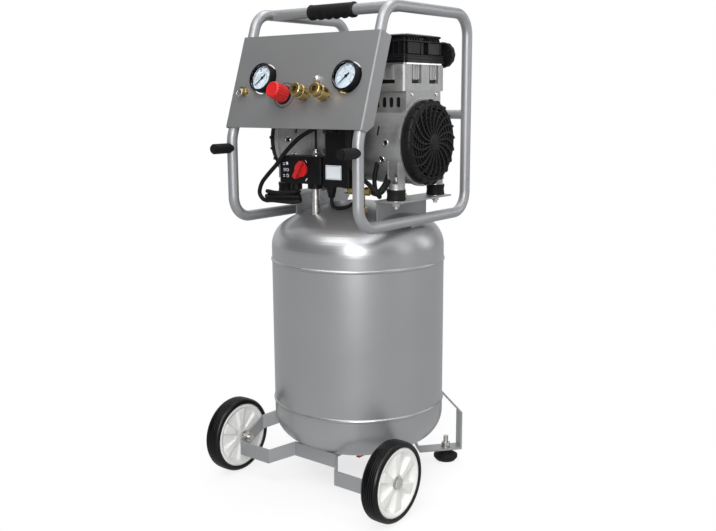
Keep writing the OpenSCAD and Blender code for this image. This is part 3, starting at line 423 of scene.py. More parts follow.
def piece(name, shape, body, material, at=None, bevel=0.0, smooth=40, replaces=()):
    """Makes a shape into an object that rides on a body, in place of the CAD nodes it replaces."""
    at = at or Matrix.Identity(4)
    mesh = bpy.data.meshes.new(name)
    mesh.from_pydata([(at @ v) * MM for v in shape.verts], [], shape.faces)
    work = bmesh.new()
    work.from_mesh(mesh)
    bmesh.ops.remove_doubles(work, verts=work.verts, dist=2e-6)
    bmesh.ops.recalc_face_normals(work, faces=work.faces)
    work.to_mesh(mesh)
    work.free()
    mesh.polygons.foreach_set("use_smooth", [True] * len(mesh.polygons))
    if smooth and not bevel:
        mesh.set_sharp_from_angle(angle=math.radians(smooth))
    mesh.materials.append(material)
    obj = bpy.data.objects.new(name, mesh)
    bpy.context.scene.collection.objects.link(obj)
    if bevel:
        edges = obj.modifiers.new("edges", "BEVEL")
        edges.width = bevel * MM
        edges.segments = 2
        edges.limit_method = "ANGLE"
        edges.angle_limit = math.radians(32)
        edges.harden_normals = True
    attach(obj, body)
    if replaces:
        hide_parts(*replaces)
    return obj


def rounded(width, height, radius, steps=5):
    """Outline of a rounded rectangle centred on the origin."""
    outline = []
    for sx, sy, start in ((1, 1, 0), (-1, 1, 90), (-1, -1, 180), (1, -1, 270)):
        for i in range(steps + 1):
            t = math.radians(start + 90 * i / steps)
            outline.append((sx * (width / 2 - radius) + radius * math.cos(t),
                            sy * (height / 2 - radius) + radius * math.sin(t)))
    return outline


def smoothstep(low, high, value):
    t = min(1.0, max(0.0, (value - low) / (high - low)))
    return t * t * (3 - 2 * t)


# ---------- wheels ----------

def tyre_profile():
    """Section of the tyre as (radius, height): bead, bulged side wall, shoulder and grooved crown."""
    wall = [(0, 15.2), (0.8, 16.4), (2.2, 17.2), (4.2, 17.4), (4.8, 16.9), (5.6, 16.9), (7.2, 16.2),
            (8.8, 14.6), (10.0, 12.4)]
    crown = []
    grooves = (10.2, 6.1, 2.0)
    for g in grooves:
        top = WHEEL_R - 0.35 * (g / 10) ** 2
        crown += [(top - 0.15, g + 1.0), (top - 0.7, g + 0.75), (top - 1.9, g + 0.5), (top - 1.9, g - 0.5),
                  (top - 0.7, g - 0.75), (top - 0.15, g - 1.0), (top, g - 1.5)]
    outer = [(HUB_R + r, z) for r, z in wall] + crown
    return outer + [(r, -z) for r, z in outer[::-1]]


def hub_height(r, angle, deep):
    """Height of the hub's face: rim, six raised petals and the pockets between them."""
    fold = abs((math.degrees(angle) + 30) % 60 - 30)
    petal = 1 - smoothstep(9.5 + 18 / max(r, 8) * 2.2, 13.0 + 60 / max(r, 8) * 2.2, fold)
    ends = smoothstep(12, 22, r) * (1 - smoothstep(50, 55, r))
    web = 12.5 - deep * (1 - petal) * ends * (0.55 + 0.45 * smoothstep(14, 46, r))
    web += 1.6 * petal * ends
    rim = smoothstep(54.5, 59.5, r)
    return web * (1 - rim) + 15.8 * rim


def hub_shape():
    """A moulded wheel hub with petals on the outer face and shallower ones on the inner face."""
    steps = 180
    radii = [6.2, 9, 12.6, 13.6, 16, 18, 20, 23, 26, 30, 34, 38, 42, 46, 48, 50, 52, 53.5, 55, 57, 59, 60.5,
             62.2, 63.4, HUB_R]
    shape = Shape()
    for side, deep in ((1, 8.5), (-1, 3.5)):
        rows = []
        for r in radii:
            row = []
            for i in range(steps):
                t = 2 * math.pi * i / steps
                z = 9.2 if side > 0 and r < 13 else hub_height(r, t, deep)
                if r > 62:
                    z -= 0.5 + (r - 62.2) * 0.6
                row.append((r * math.cos(t), r * math.sin(t), side * z))
            rows.append(row)
        shape.rows(rows, closed=True)
    shape.lathe([(HUB_R, 14.2), (HUB_R, -14.2)], steps)
    shape.lathe([(6.2, 9.2), (6.2, -12.5)], steps)
    return shape


for side in ("left", "right"):
    at = outward(side, *WHEEL)
    tyre = Shape().lathe(tyre_profile(), 180, loop=True)
    piece(f"{side}_tyre_tread", tyre, f"{side}_wheel", tyre_rubber, at, smooth=50,
          replaces=[f"{side}_tyre"])
    piece(f"{side}_wheel_hub", hub_shape(), f"{side}_wheel", hub_plastic, at, smooth=60,
          replaces=[f"{side}_hub"])


# ---------- fan covers ----------

def vane(start_r, end_r, turn_by, face):
    """Points along one curved vane, ending in a tooth folded over the cover's rim."""
    path = []
    for i in range(15):
        t = i / 14
        r = start_r + (end_r - start_r) * t
        angle = turn_by * t ** 1.9
        path.append((r * math.cos(angle), r * math.sin(angle), face - 3.2 * smoothstep(0.72, 1.0, t)))
    return path


def fan_cover_shape():
    """Bowl-shaped guard: rim, concentric grid, curved vanes with teeth at the rim, and a hub disc."""
    vanes = 21
    bend = -0.45
    face = COVER_OUT - 2.4
    rim = 76.5
    shape = Shape()
    skirt = [(0, 0), (0.6, 1), (0.6, 3.5), (0, 4)]
    bowl = [(-0.6, -8), (-2.2, -4.5), (-5.2, -2.6), (-8.5, -2.2), (-8.5, -4.4), (-5.0, -5.0), (-3.6, -9)]
    shape.lathe([(rim + r, RING_OUT + z) for r, z in skirt] + [(rim + r, face + z) for r, z in bowl]
                + [(rim - 3.4, RING_OUT)], 144, loop=True)
    for i in range(6):
        r = 26 + 7.8 * i
        bar = [(-1.7, -5.5), (1.7, -5.5), (1.5, -2.6), (-1.5, -2.6)]
        shape.lathe([(r + dr, face + z) for dr, z in bar], 120, loop=True)
    section = [(-2.1, -2.8), (-1.9, 0.7), (-1.2, 1.3), (1.2, 1.3), (1.9, 0.7), (2.1, -2.8)]
    for k in range(vanes):
        at = turn("Z", 360 / vanes * k)
        shape.sweep(vane(12.5, rim - 1.6, bend, face - 0.4), section, at=at)
        end = turn("Z", 360 / vanes * k + math.degrees(bend))
        shape.sweep([(rim - 1.4, 0, face - 3.4), (rim + 0.3, 0, face - 5.4), (rim + 1.0, 0, face - 9.5),
                     (rim + 0.9, 0, face - 13)], [(-1.9, -1.6), (-1.5, 0.9), (1.5, 0.9), (1.9, -1.6)],
                    up=(1, 0, 0.3), at=end)
    shape.lathe([(0, face - 6), (14.2, face - 6), (14.6, face + 0.6), (13.6, face + 1.9), (11.5, face + 2.3),
                 (0, face + 2.4)], 72)
    return shape


for side in ("left", "right"):
    at = MIRROR[side] @ place(0, *SHAFT) @ turn("Y", 90)
    first = side == "left"
    cover = piece(f"{side}_fan_guard", fan_cover_shape(), "machine", black_plastic, at,
                  smooth=38, replaces=["fan_covers"] if first else ())

# ---------- regulator knob ----------

def knob_shape():
    """Ribbed cap with a smooth dished face and a plain skirt."""
    ribs = 18
    steps = ribs * 10
    rows = []
    for r, z, rib in ((13.6, 4, 0), (15.2, 4.2, 0.2), (15.5, 5.4, 1), (15.3, 18, 1), (15.0, 29, 1),
                      (14.8, 31.4, 0.9), (14.2, 33.2, 0.5), (13.3, 34.2, 0.1), (12.4, 34.6, 0),
                      (11.4, 34.4, 0), (9.0, 34.2, 0), (0, 34.1, 0)):
        row = []
        for i in range(steps):
            t = 2 * math.pi * i / steps
            wave = 0.5 + 0.5 * math.cos(ribs * t)
            rr = r + 1.5 * rib * (wave ** 0.5 - 0.8)
            row.append((rr * math.cos(t), rr * math.sin(t), z))
        rows.append(row)
    return Shape().rows(rows, closed=True)


piece("regulator_cap", knob_shape(), "regulator_knob", red_plastic, PANEL @ shift(*KNOB),
      smooth=40, replaces=["regulator_knob"])

# ---------- handle grip ----------

def grip_shape():
    """Rubber grip along X: finger hollows underneath, a small collar at each end and fine ribs on top."""
    length = GRIP_LENGTH
    steps = 48
    stations = 141
    bore = [(10.2 * math.cos(2 * math.pi * i / steps), 10.2 * math.sin(2 * math.pi * i / steps))
            for i in range(steps)]
    rows = [[(-length / 2, y, z) for y, z in bore]]
    for j in range(stations):
        x = -length / 2 + length * j / (stations - 1)
        near_end = min(x + length / 2, length / 2 - x)
        base = 12.2 + 1.9 * smoothstep(0, 2.2, near_end) - 0.9 * smoothstep(4.5, 6.5, near_end)
        hollow = 0.5 - 0.5 * math.cos(2 * math.pi * (x + length / 2 - 6) / 18.8)
        inside = smoothstep(6, 8, near_end)
        row = []
        for i in range(steps):
            t = 2 * math.pi * i / steps
            below = max(0.0, -math.sin(t)) ** 1.2
            rib = 0.18 * math.cos(2 * math.pi * x / 2.5) * max(0.0, math.sin(t)) * inside
            r = base + rib + inside * below * (1.5 - 2.9 * hollow)
            row.append((x, r * math.cos(t), r * math.sin(t)))
        rows.append(row)
    rows.append([(length / 2, y, z) for y, z in bore])
    return Shape().rows(rows, closed=True)


piece("handle_grip_sleeve", grip_shape(), "machine", black_rubber, place(0, *HANDLE),
      smooth=60, replaces=["handle_grip"])

# ---------- gauge faces and printed marks ----------

def arc_band(inner, outer, start, end, height, thick=0.12, steps=60):
    """A flat printed arc between two radii and two angles in degrees."""
    outline = []
    for r, order in ((inner, range(steps + 1)), (outer, range(steps, -1, -1))):
        for i in order:
            t = math.radians(start + (end - start) * i / steps)
            outline.append((r * math.cos(t), r * math.sin(t)))
    shape = Shape()
    size = steps + 1
    for i in range(steps):
        quad = [outline[i], outline[i + 1], outline[2 * size - 2 - i], outline[2 * size - 1 - i]]
        shape.prism(quad, height, height + thick)
    return shape


def dial_marks():
    """Graduations of a gauge: 270 degrees of short, middle and long strokes, with an inner scale."""
    shape = Shape()
    for i in range(51):
        a = 225 - 270 * i / 50
        long = i % 10 == 0
        middle = i % 5 == 0
        inner = 17.4 if long else 18.6 if middle else 19.6
        half = 0.28 if long else 0.16
        shape.prism([(inner, -half), (21.2, -half), (21.2, half), (inner, half)],
                    GAUGE_FACE, GAUGE_FACE + 0.1, turn("Z", a))
    for i in range(28):
        a = 225 - 10 * i
        shape.prism([(9.6, -0.13), (10.8, -0.13), (10.8, 0.13), (9.6, 0.13)],
                    GAUGE_FACE, GAUGE_FACE + 0.1, turn("Z", a))
    for part in (arc_band(21.2, 21.5, -45, 225, GAUGE_FACE), arc_band(9.3, 9.6, -45, 225, GAUGE_FACE)):
        shape.add(part.verts, part.faces)
    return shape


def numeral(text, size, at, name):
    """A printed number, as a thin mesh."""
    curve = bpy.data.curves.new(name, "FONT")
    curve.body = text
    curve.size = size
    curve.align_x = "CENTER"
    curve.align_y = "CENTER"
    curve.extrude = 0.05
    curve.resolution_u = 3
    holder = bpy.data.objects.new(name, curve)
    bpy.context.scene.collection.objects.link(holder)
    bpy.context.view_layer.update()
    mesh = bpy.data.meshes.new_from_object(holder.evaluated_get(bpy.context.evaluated_depsgraph_get()))
    shape = Shape()
    shape.add([v.co for v in mesh.vertices], [list(p.vertices) for p in mesh.polygons], at)
    bpy.data.objects.remove(holder)
    bpy.data.curves.remove(curve)
    bpy.data.meshes.remove(mesh)
    return shape


for side, spot in GAUGES.items():
    marks = dial_marks()
    for i in range(6):
        a = math.radians(225 - 54 * i)
        spot_at = shift(14.4 * math.cos(a), 14.4 * math.sin(a), GAUGE_FACE + 0.05)
        digits = numeral(str(2 * i), 4.4, spot_at, "numeral")
        marks.add(digits.verts, digits.faces)
    piece(f"{side}_dial_marks", marks, "machine", print_ink, PANEL @ shift(*spot), smooth=0)

ring = arc_band(22.2, 23.6, 0, 360, -0.02, steps=120)
piece("regulator_ring_print", ring, "machine", print_ink, PANEL @ shift(*KNOB), smooth=0)

# ---------- cylinder blocks and crankcase openings ----------

NECK_TOP = 93
BLOCK_H = 47
BLOCK_HALF_X = 40.5
BLOCK_CORNER = 8
BLOCK_WINDOW = 8.4
BORE_R = 33
DEEPER = shift(0, 3, 0) @ Matrix.Diagonal((1, 1.05, 1, 1))
BLOCK = shift(HEAD_MID_X, 0, NECK_TOP) @ DEEPER
DRUM_R = 77
DRUM_HOLES = ((117.8, 89), (106, 112))


def block_ring(height, depth, rib_depth):
    """One ring of the cylinder block: a rounded rectangle with notches, and two ribs in each notch."""
    ring = []
    for quarter in range(4):
        along_y = quarter % 2 == 0
        face, half = (BLOCK_HALF_X, BLOCK_HALF) if along_y else (BLOCK_HALF, BLOCK_HALF_X)
        notches = ((-27, 15), (27, 15)) if along_y else ((0, 18),)
        local = []
        for middle, width in notches:
            local += [(face, middle - width), (face - depth, middle - width)]
            for rib in (-0.55 * width, 0.55 * width):
                for edge, cut in ((-1.2, depth), (-1.2, rib_depth), (1.2, rib_depth), (1.2, depth)):
                    local.append((face - cut, middle + rib + edge))
            local += [(face - depth, middle + width), (face, middle + width)]
        for i in range(7):
            t = math.radians(15 * i)
            local.append((face - BLOCK_CORNER * (1 - math.cos(t)), half - BLOCK_CORNER * (1 - math.sin(t))))
        spin = math.pi / 2 * quarter
        ring += [(x * math.cos(spin) - y * math.sin(spin), x * math.sin(spin) + y * math.cos(spin), height)
                 for x, y in local]
    return ring


def cylinder_block_shape():
    """Cylinder block: a base, a window zone, recesses with upright ribs above, and the bore through it."""
    rings = [block_ring(*level) for level in
             ((0, 0, 0), (13.2, 0, 0), (13.6, BLOCK_WINDOW, BLOCK_WINDOW),
              (20.4, BLOCK_WINDOW, BLOCK_WINDOW), (20.8, 6.0, 1.4), (BLOCK_H, 6.0, 1.4))]
    for height in (BLOCK_H, 0):
        ring = []
        for x, y, _ in rings[0]:
            t = math.atan2(y, x)
            ring.append((0.5 + BORE_R * math.cos(t), BORE_R * math.sin(t), height))
        rings.append(ring)
    return Shape().rows(rings, closed=True, loop=True)


def painted_shade_openings():
    """Black plates of painted shade behind the block's windows, the neck's vents and the drum's openings,
    standing in for the dark inside them.
    """
    shape = Shape()
    for face, half, notches, width in ((0, BLOCK_HALF_X, (-27, 27), 29.4), (90, BLOCK_HALF, (0,), 35.4)):
        for back in (0, 180):
            for middle in notches:
                wall = turn("Z", face + back) @ shift(half - BLOCK_WINDOW + 0.1, middle, 17) @ turn("Y", 90)
                shape.prism(rounded(6.2, width, 0.6, 2), 0, 0.4, BLOCK @ wall)
    for face in (-90, 90):
        for i in range(4):
            at = shift(84 + 15.5 * i, 0, 73) @ turn("X", face)
            shape.prism(rounded(9.4, 18.9, 3.9), 52.6, 53, at)
    for face in (-1, 1):
        shape.prism(rounded(4.9, 18.9, 2.2), DRUM_R - 2, DRUM_R - 1.6,
                    turn("X", face * 73) @ shift(98.7, 0, 0))
        for x, angle in DRUM_HOLES:
            shape.lathe([(0, DRUM_R - 2), (4.45, DRUM_R - 2), (4.45, DRUM_R - 1.6), (0, DRUM_R - 1.6)], 36,
                        turn("X", face * angle) @ shift(x, 0, 0))
    return shape


def drum_rims():
    """A turned rim round each of the drum's round openings."""
    shape = Shape()
    for face in (-1, 1):
        for x, angle in DRUM_HOLES:
            profile = [(4.3, -1), (4.3, 1.5), (4.8, 2), (6.0, 2), (6.8, 1.3), (6.9, -1)]
            shape.lathe([(r, DRUM_R + z) for r, z in profile], 48, turn("X", face * angle) @ shift(x, 0, 0),
                        loop=True)
    return shape


for side in ("left", "right"):
    pump = MIRROR[side] @ place(0, *SHAFT)
    piece(f"{side}_cylinder_block", cylinder_block_shape(), "machine", cast_aluminium,
          pump @ BLOCK, bevel=0.4, replaces=["cylinder_blocks"] if side == "left" else ())
    # black plates of painted shade set inside the openings
    piece(f"{side}_painted_shade_plates", painted_shade_openings(), "machine", black_plastic, pump,
          smooth=30)
    piece(f"{side}_drum_rims", drum_rims(), "machine", machined_aluminium, pump)

# ---------- head covers and intake caps ----------

def cover_outline(inset, height, crown=0.0, shrink=1.0):
    """One ring of the head cover: a rounded rectangle that can follow the crowned top."""
    ring = []
    for x, y in rounded(85 - 2 * inset, 128 - 2 * inset, max(2.0, 7 - inset * 0.5), 6):
        x, y = x * shrink, y * shrink
        ring.append((x, y, height - crown * (y / 64) ** 2))
    return ring


def head_cover_shape():
    """Vented head cover: grooved band, recessed wall, ledge and a crowned roof."""
    height = HEAD_TOP - HEAD_BASE
    shape = Shape()
    rings = [cover_outline(i, z) for i, z in
             ((2.5, 0), (0.4, 0), (0, 0.5), (0, 4.6), (0.9, 5.0), (0.9, 6.2), (0, 6.6), (0, 9.6),
              (0.9, 10.0), (0.9, 11.2), (0, 11.6), (0, 13.4), (0.8, 14.4), (5.5, 14.6), (6.5, 15.4),
              (6.5, 35.5), (6.0, 36.0), (1.4, 36.2), (1.0, 36.8), (1.0, 38.2), (1.6, 38.8), (8.0, 39.2),
              (8.6, 40.0), (9.2, 44.5))]
    rings += [cover_outline(9.2 + e, height - 0.4 - f, crown=6.0) for e, f in
              ((-2.6, 2.6), (-3.0, 1.4), (-2.4, 0.5), (-0.8, 0.0))]
    rings += [cover_outline(8.4, height - 0.4 + 0.4 * (1 - k) ** 2, crown=6.0, shrink=k)
              for k in (0.9, 0.75, 0.6, 0.45, 0.3, 0.15, 0.02)]
    shape.rows(rings, closed=True)
    for face in (-1, 1):
        for low, high in ((-54, -15), (8, 46)):
            middle, width = (low + high) / 2, high - low
            pad = turn("Z", 0 if face > 0 else 180) @ shift(35.5, middle * face, 25.6) @ turn("Y", 90)
            shape.prism(rounded(19.5, width - 4, 1.6), 0, 5.2, pad)
            for end in (low - 0.8, high + 0.8):
                rib = turn("Z", 0 if face > 0 else 180) @ shift(35.5, end * face, 25.4) @ turn("Y", 90)
                shape.prism(rounded(21, 1.8, 0.6, 2), 0, 6.2, rib)
            slits = int(width // 7)
            for k in range(slits):
                y = low + 3 + (width - 6) * k / (slits - 1)
                outline = [(0, 38), (7.4, 38), (7.4, 41), (4.6, 46.5), (0, 48.5)]
                blade = turn("Z", 0 if face > 0 else 180) @ shift(33.5, y * face + 1.1, 0) @ turn("X", 90)
                shape.prism(outline, 0, 2.2, blade)
    for face in (-1, 1):
        for x in (-26, -14, 14, 26):
            shape.prism(rounded(2.2, 5.4, 0.6, 2), 14, 37, shift(x, face * 59.6, 0))
    return shape


def screw_head(radius, height, recess=True):
    """A domed screw head with a cross recess cut as a raised rim and four lobes."""
    dome = [(0, 0.8), (0.35, 0.8), (0.42, 1), (0.7, 0.9), (0.93, 0.5), (1, 0), (0, 0)]
    shape = Shape().lathe([(r * radius, z * height) for r, z in dome], 24)
    if recess:
        for k in range(4):
            lobe = [(0.05, -0.05), (0.36, -0.2), (0.36, 0.2), (0.05, 0.05)]
            shape.prism([(x * radius, y * radius) for x, y in lobe], height * 0.75, height * 0.95,
                        turn("Z", 45 + 90 * k))
    return shape


def intake_cap_shape():
    """Ribbed intake filter cap on a short neck, facing along Z."""
    steps = 192
    rows = []
    for r, z, rib in ((0, 2, 0), (7, 2, 0), (7, 6.2, 0), (22.4, 6.4, 0), (23.4, 7.2, 1), (23.5, 15.5, 1),
                      (22.8, 17.2, 0.6), (21, 18.2, 0), (20.2, 18.6, 0), (19.6, 19.8, 0), (14, 19.9, 0),
                      (13.4, 18.8, 0), (11.4, 18.8, 0), (10.8, 19.9, 0), (0, 20, 0)):
        row = []
        for i in range(steps):
            t = 2 * math.pi * i / steps
            rr = r + rib * 0.5 * math.copysign(abs(math.cos(12 * t)) ** 0.5, math.cos(12 * t))
            row.append((rr * math.cos(t), rr * math.sin(t), z))
        rows.append(row)
    return Shape().rows(rows, closed=True)


for side in ("left", "right"):
    first = side == "left"
    at = MIRROR[side] @ place(HEAD_MID_X, SHAFT[0], SHAFT[1] + HEAD_BASE) @ DEEPER
    piece(f"{side}_head_cover", head_cover_shape(), "machine", black_gloss, at, bevel=0.3,
          replaces=["head_covers"] if first else ())
    screws = Shape()
    for x in (-36, 36):
        for y in (-56, 56):
            head = screw_head(3.0, 2.0)
            screws.add(head.verts, head.faces, shift(x * 0.86, y * 0.9, HEAD_TOP - HEAD_BASE - 5.6))
    piece(f"{side}_head_screws", screws, "machine", zinc_steel, at, smooth=40)
    at = MIRROR[side] @ place(140, SHAFT[0] + BLOCK_HALF + 5, SHAFT[1] + HEAD_BASE + 17) @ turn("X", -90)
    piece(f"{side}_intake_cap", intake_cap_shape(), "machine", black_plastic, at, smooth=35,
          replaces=["intake_filters"] if first else ())

# ---------- rubber mounts ----------

MOUNTS = [(x, SHAFT[0] + y) for x in (-133.5, 133.5) for y in (-65.5, 65.5)]
mounts = Shape()
washers = Shape()
for x, y in MOUNTS:
    mounts.lathe([(5, 568.8), (16.4, 568.8), (17.4, 569.6), (17.7, 571), (17.2, 574), (16.6, 579),
                  (17.2, 584), (17.7, 587), (17.4, 588.4), (16.4, 589.2), (5, 589.2)], 72,
                 place(x, y, 0), loop=True)
    for z in (568.02, 589.2):
        washers.lathe([(5, z), (17.0, z), (17.0, z + 0.78), (5, z + 0.78)], 48, place(x, y, 0), loop=True)
piece("vibration_mounts", mounts, "machine", black_rubber, smooth=50,
      replaces=["rubber_mounts"])
piece("mount_washers", washers, "machine", zinc_steel, smooth=30)

# ---------- hoses, pipes and cord ----------

def smooth_path(points, steps=10):
    """Points of a smooth curve through the given points."""
    out = []
    ends = [points[0]] + list(points) + [points[-1]]
    for i in range(1, len(ends) - 2):
        p0, p1, p2, p3 = (Vector(p) for p in ends[i - 1:i + 3])
        for k in range(steps):
            t = k / steps
            out.append(0.5 * ((2 * p1) + (p2 - p0) * t + (2 * p0 - 5 * p1 + 4 * p2 - p3) * t * t
                              + (3 * p1 - p0 - 3 * p2 + p3) * t * t * t))
    out.append(Vector(points[-1]))
    return out


def tube(points, radius, steps=10, sides=20, ridge=0.0):
    """A round hose along a smooth curve through the points, with frames carried along it without twist."""
    path = smooth_path(points, steps)
    ahead = [(path[min(i + 1, len(path) - 1)] - path[max(i - 1, 0)]).normalized() for i in range(len(path))]
    side = ahead[0].orthogonal().normalized()
    rows = []
    for i, p in enumerate(path):
        side = (side - ahead[i] * side.dot(ahead[i])).normalized()
        top = ahead[i].cross(side)
        r = radius + (ridge if i % 2 else 0.0)
        rows.append([p + r * (math.cos(t) * side + math.sin(t) * top)
                     for t in (2 * math.pi * k / sides for k in range(sides))])
    shape = Shape().rows(rows, closed=True)
    size = len(rows)
    shape.faces.append(list(range(sides))[::-1])
    shape.faces.append([(size - 1) * sides + k for k in range(sides)])
    return shape


TEE = (74, -84)
RISER = (-27, -95)
CHECK = (30, 112)
HEAD_TUBE_Z = SHAFT[1] + HEAD_BASE + 22


def hex_outline(flats):
    corner = flats / math.sqrt(3)
    return [(corner * math.cos(math.pi / 3 * k), corner * math.sin(math.pi / 3 * k)) for k in range(6)]


def tee_shape():
    """Brass tee on the tank: threaded neck, hexagon, column and a cross run with end nuts."""
    shape = Shape()
    neck = [(0, 528), (7.2, 528)]
    for k in range(8):
        neck += [(7.2, 529 + k * 1.8), (6.4, 529.9 + k * 1.8)]
    neck += [(7, 544), (7, 590.4), (6.2, 591.4), (0, 591.4)]
    shape.lathe(neck, 40, place(TEE[0], TEE[1], 0))
    shape.prism(hex_outline(20), 545, 555, place(TEE[0], TEE[1], 0))
    run = place(TEE[0], TEE[1], 585) @ turn("Y", 90)
    shape.lathe([(0, -40), (4.6, -40), (5.8, -39), (5.8, 19), (4.8, 20), (0, 20)], 36, run)
    for z0, z1, flats in ((-26, -17, 13.5), (10, 19, 14)):
        shape.prism(hex_outline(flats), z0, z1, run)
    shape.lathe([(0, 528), (8, 528), (8, 562), (0, 562)], 36, place(CHECK[0], CHECK[1], 0))
    shape.prism(hex_outline(22), 545, 557, place(CHECK[0], CHECK[1], 0))
    return shape


piece("tank_fittings", tee_shape(), "machine", brass, bevel=0.35, replaces=["air_lines"])
nut = Shape().prism(hex_outline(12.5), -38.5, -29, place(TEE[0], TEE[1], 585) @ turn("Y", 90))
piece("tee_nut", nut, "machine", zinc_steel, bevel=0.4)
hose = tube([(TEE[0], y, z) for y, z in
             ((TEE[1], 589), (TEE[1], 600), (-92, 611), (-110, 628), (-120, 644), (-122, 664), (-122, 700),
              (-122, 736), (-127, 749), (-140, 752))], 5, ridge=0.05)
piece("supply_hose", hose, "machine", black_rubber, place(), smooth=60)
delivery = tube([(CHECK[0], y, z) for y, z in
                 ((CHECK[1], 560), (CHECK[1], 640), (CHECK[1], 760), (CHECK[1], HEAD_TUBE_Z - 22),
                  (CHECK[1] - 6, HEAD_TUBE_Z - 6), (CHECK[1] - 22, HEAD_TUBE_Z), (60, HEAD_TUBE_Z),
                  (15, HEAD_TUBE_Z))], 5, steps=8)
piece("delivery_pipe", delivery, "machine", machined_aluminium, place(), smooth=60)
nipple = Shape()
nipple.lathe([(0, 645.6), (6.2, 645.6), (6.2, 648), (4, 648.4), (4, 652), (5.2, 652.4), (5.2, 655.6),
              (3, 656.4), (3, 659), (0, 659)], 32, place(RISER[0] + 2, RISER[1], 0))
nipple.prism(hex_outline(11), 648.2, 652.2, place(RISER[0] + 2, RISER[1], 0))
piece("unloader_fitting", nipple, "machine", zinc_steel, bevel=0.25)
unloader = tube([(RISER[0] + x, RISER[1], z) for x, z in
                 ((2, 657), (2, 690), (3, 722), (12, 738), (34, 741), (52, 737), (57, 724))], 2.2, sides=14)
piece("unloader_tube", unloader, "machine", black_plastic, place(), smooth=60)

cord = [(34, -112, 698), (30, -119, 703), (12, -121, 703), (-8, -122, 697), (-42, -122, 681),
        (-77, -122, 654), (-100, -122, 630), (-124, -122, 609), (-142, -121.5, 591), (-150, -120, 572),
        (-144, -117.5, 560)]
for i in range(63):
    t = math.radians(-140 + 15 * i)
    lap = i / 24
    reach = 1 - 0.05 * lap + 0.03 * math.sin(2.3 * i)
    cord.append((-106 + 43 * reach * math.cos(t), -100 + 15.5 * reach * math.sin(t),
                 556 + 8.6 * lap + 1.2 * math.sin(0.7 * i)))
piece("mains_cord", tube(cord, 4.1, steps=5), "machine", black_rubber, place(),
      smooth=60, replaces=["power_cord"])
motor_lead = tube([(66, -94, 612), (80, -98, 611), (100, -100, 602), (117, -96, 586), (117, -86, 577),
                   (104, -80, 586), (95, -72, 606), (92, -62, 628), (92, -56, 642)], 4.2)
piece("motor_lead", motor_lead, "machine", black_rubber, place(), smooth=60)
capacitor_lead = tube([(14, -97, 570), (14, -95, 556), (18, -82, 549), (30, -62, 553), (40, -46, 572),
                       (42, -38, 600), (42, -36, 618)], 3.4)
piece("capacitor_lead", capacitor_lead, "machine", black_rubber, place(), smooth=60)
pump_hose = tube([(104, -88, 585), (113, -89, 584), (121, -88, 587), (124, -82, 594), (121, -70, 601),
                  (114, -56, 606), (106, -42, 610)], 6.4)
piece("pump_hose", pump_hose, "machine", black_rubber, place(), smooth=60)
glands = Shape()
for origin, axis, size in (((14, -97, 592), turn("X", 180), 1.0), ((67.5, -94, 612), turn("Y", 90), 0.8),
                           ((34, -113, 698), turn("X", 90), 0.7)):
    profile = [(0, -1), (10, -1), (10, 3), (9, 3.6), (8.6, 12)]
    for k in range(5):
        profile += [(8.4 - 0.4 * k, 12.4 + 2 * k), (7.0 - 0.4 * k, 13.2 + 2 * k)]
    profile += [(4.6, 22.5), (0, 22.5)]
    glands.lathe([(r * size, z * size) for r, z in profile], 32, place(*origin) @ axis)
piece("cable_glands", glands, "machine", black_plastic, smooth=35)

# ---------- switch and terminal box ----------

def flat_marks(parts, thick=0.15):
    """Printed strokes on the switch's front, as thin rectangles (x, z, width, height, turned by degrees)."""
    shape = Shape()
    for x, z, width, height, angle in parts:
        at = place(x, SWITCH_FRONT - thick, z) @ turn("X", 90) @ turn("Z", angle)
        shape.prism(rounded(width, height, min(width, height) * 0.3, 2), -thick, 0, at)
    return shape


marks = flat_marks([(-86, 632, 5, 1.2, 0), (-86, 629, 5, 1.2, 0), (-78, 632, 6, 6, 0),
                    (-86, 619.5, 1.2, 6, 0), (-83, 619.5, 1.2, 6, 0), (-86, 607, 5, 1.2, 0),
                    (-86, 610, 5, 1.2, 0), (-30, 637, 1.6, 7, 40), (-30, 603, 1.6, 7, -40)])
for z in (619.5, 608.5):
    circle_mark = arc_band(2.2, 3.2, 0, 360, 0, steps=24)
    marks.add(circle_mark.verts, circle_mark.faces, place(-77, SWITCH_FRONT, z) @ turn("X", 90))
piece("switch_marks", marks, "machine", dial_white, smooth=0)

plate = Shape().prism(rounded(37, 26, 1.2), 0, 0.5, place(33.5, TERMINAL_FRONT - 1, 619) @ turn("X", 90))
piece("rating_plate", plate, "machine", dial_white, bevel=0.1)
border = Shape()
for x, z, width, height in ((0, 11.4, 34, 0.5), (0, -11.4, 34, 0.5), (-16.8, 0, 0.5, 23),
                            (16.8, 0, 0.5, 23)):
    border.prism(rounded(width, height, 0.2, 1), 0.5, 0.6,
                 place(33.5 + x, TERMINAL_FRONT - 1, 619 + z) @ turn("X", 90))
piece("rating_plate_border", border, "machine", print_ink, smooth=0)

for name, (material, width) in CAD_FINISH.items():
    paint_node(name, material, width)

# ---------- floor, lights and camera ----------

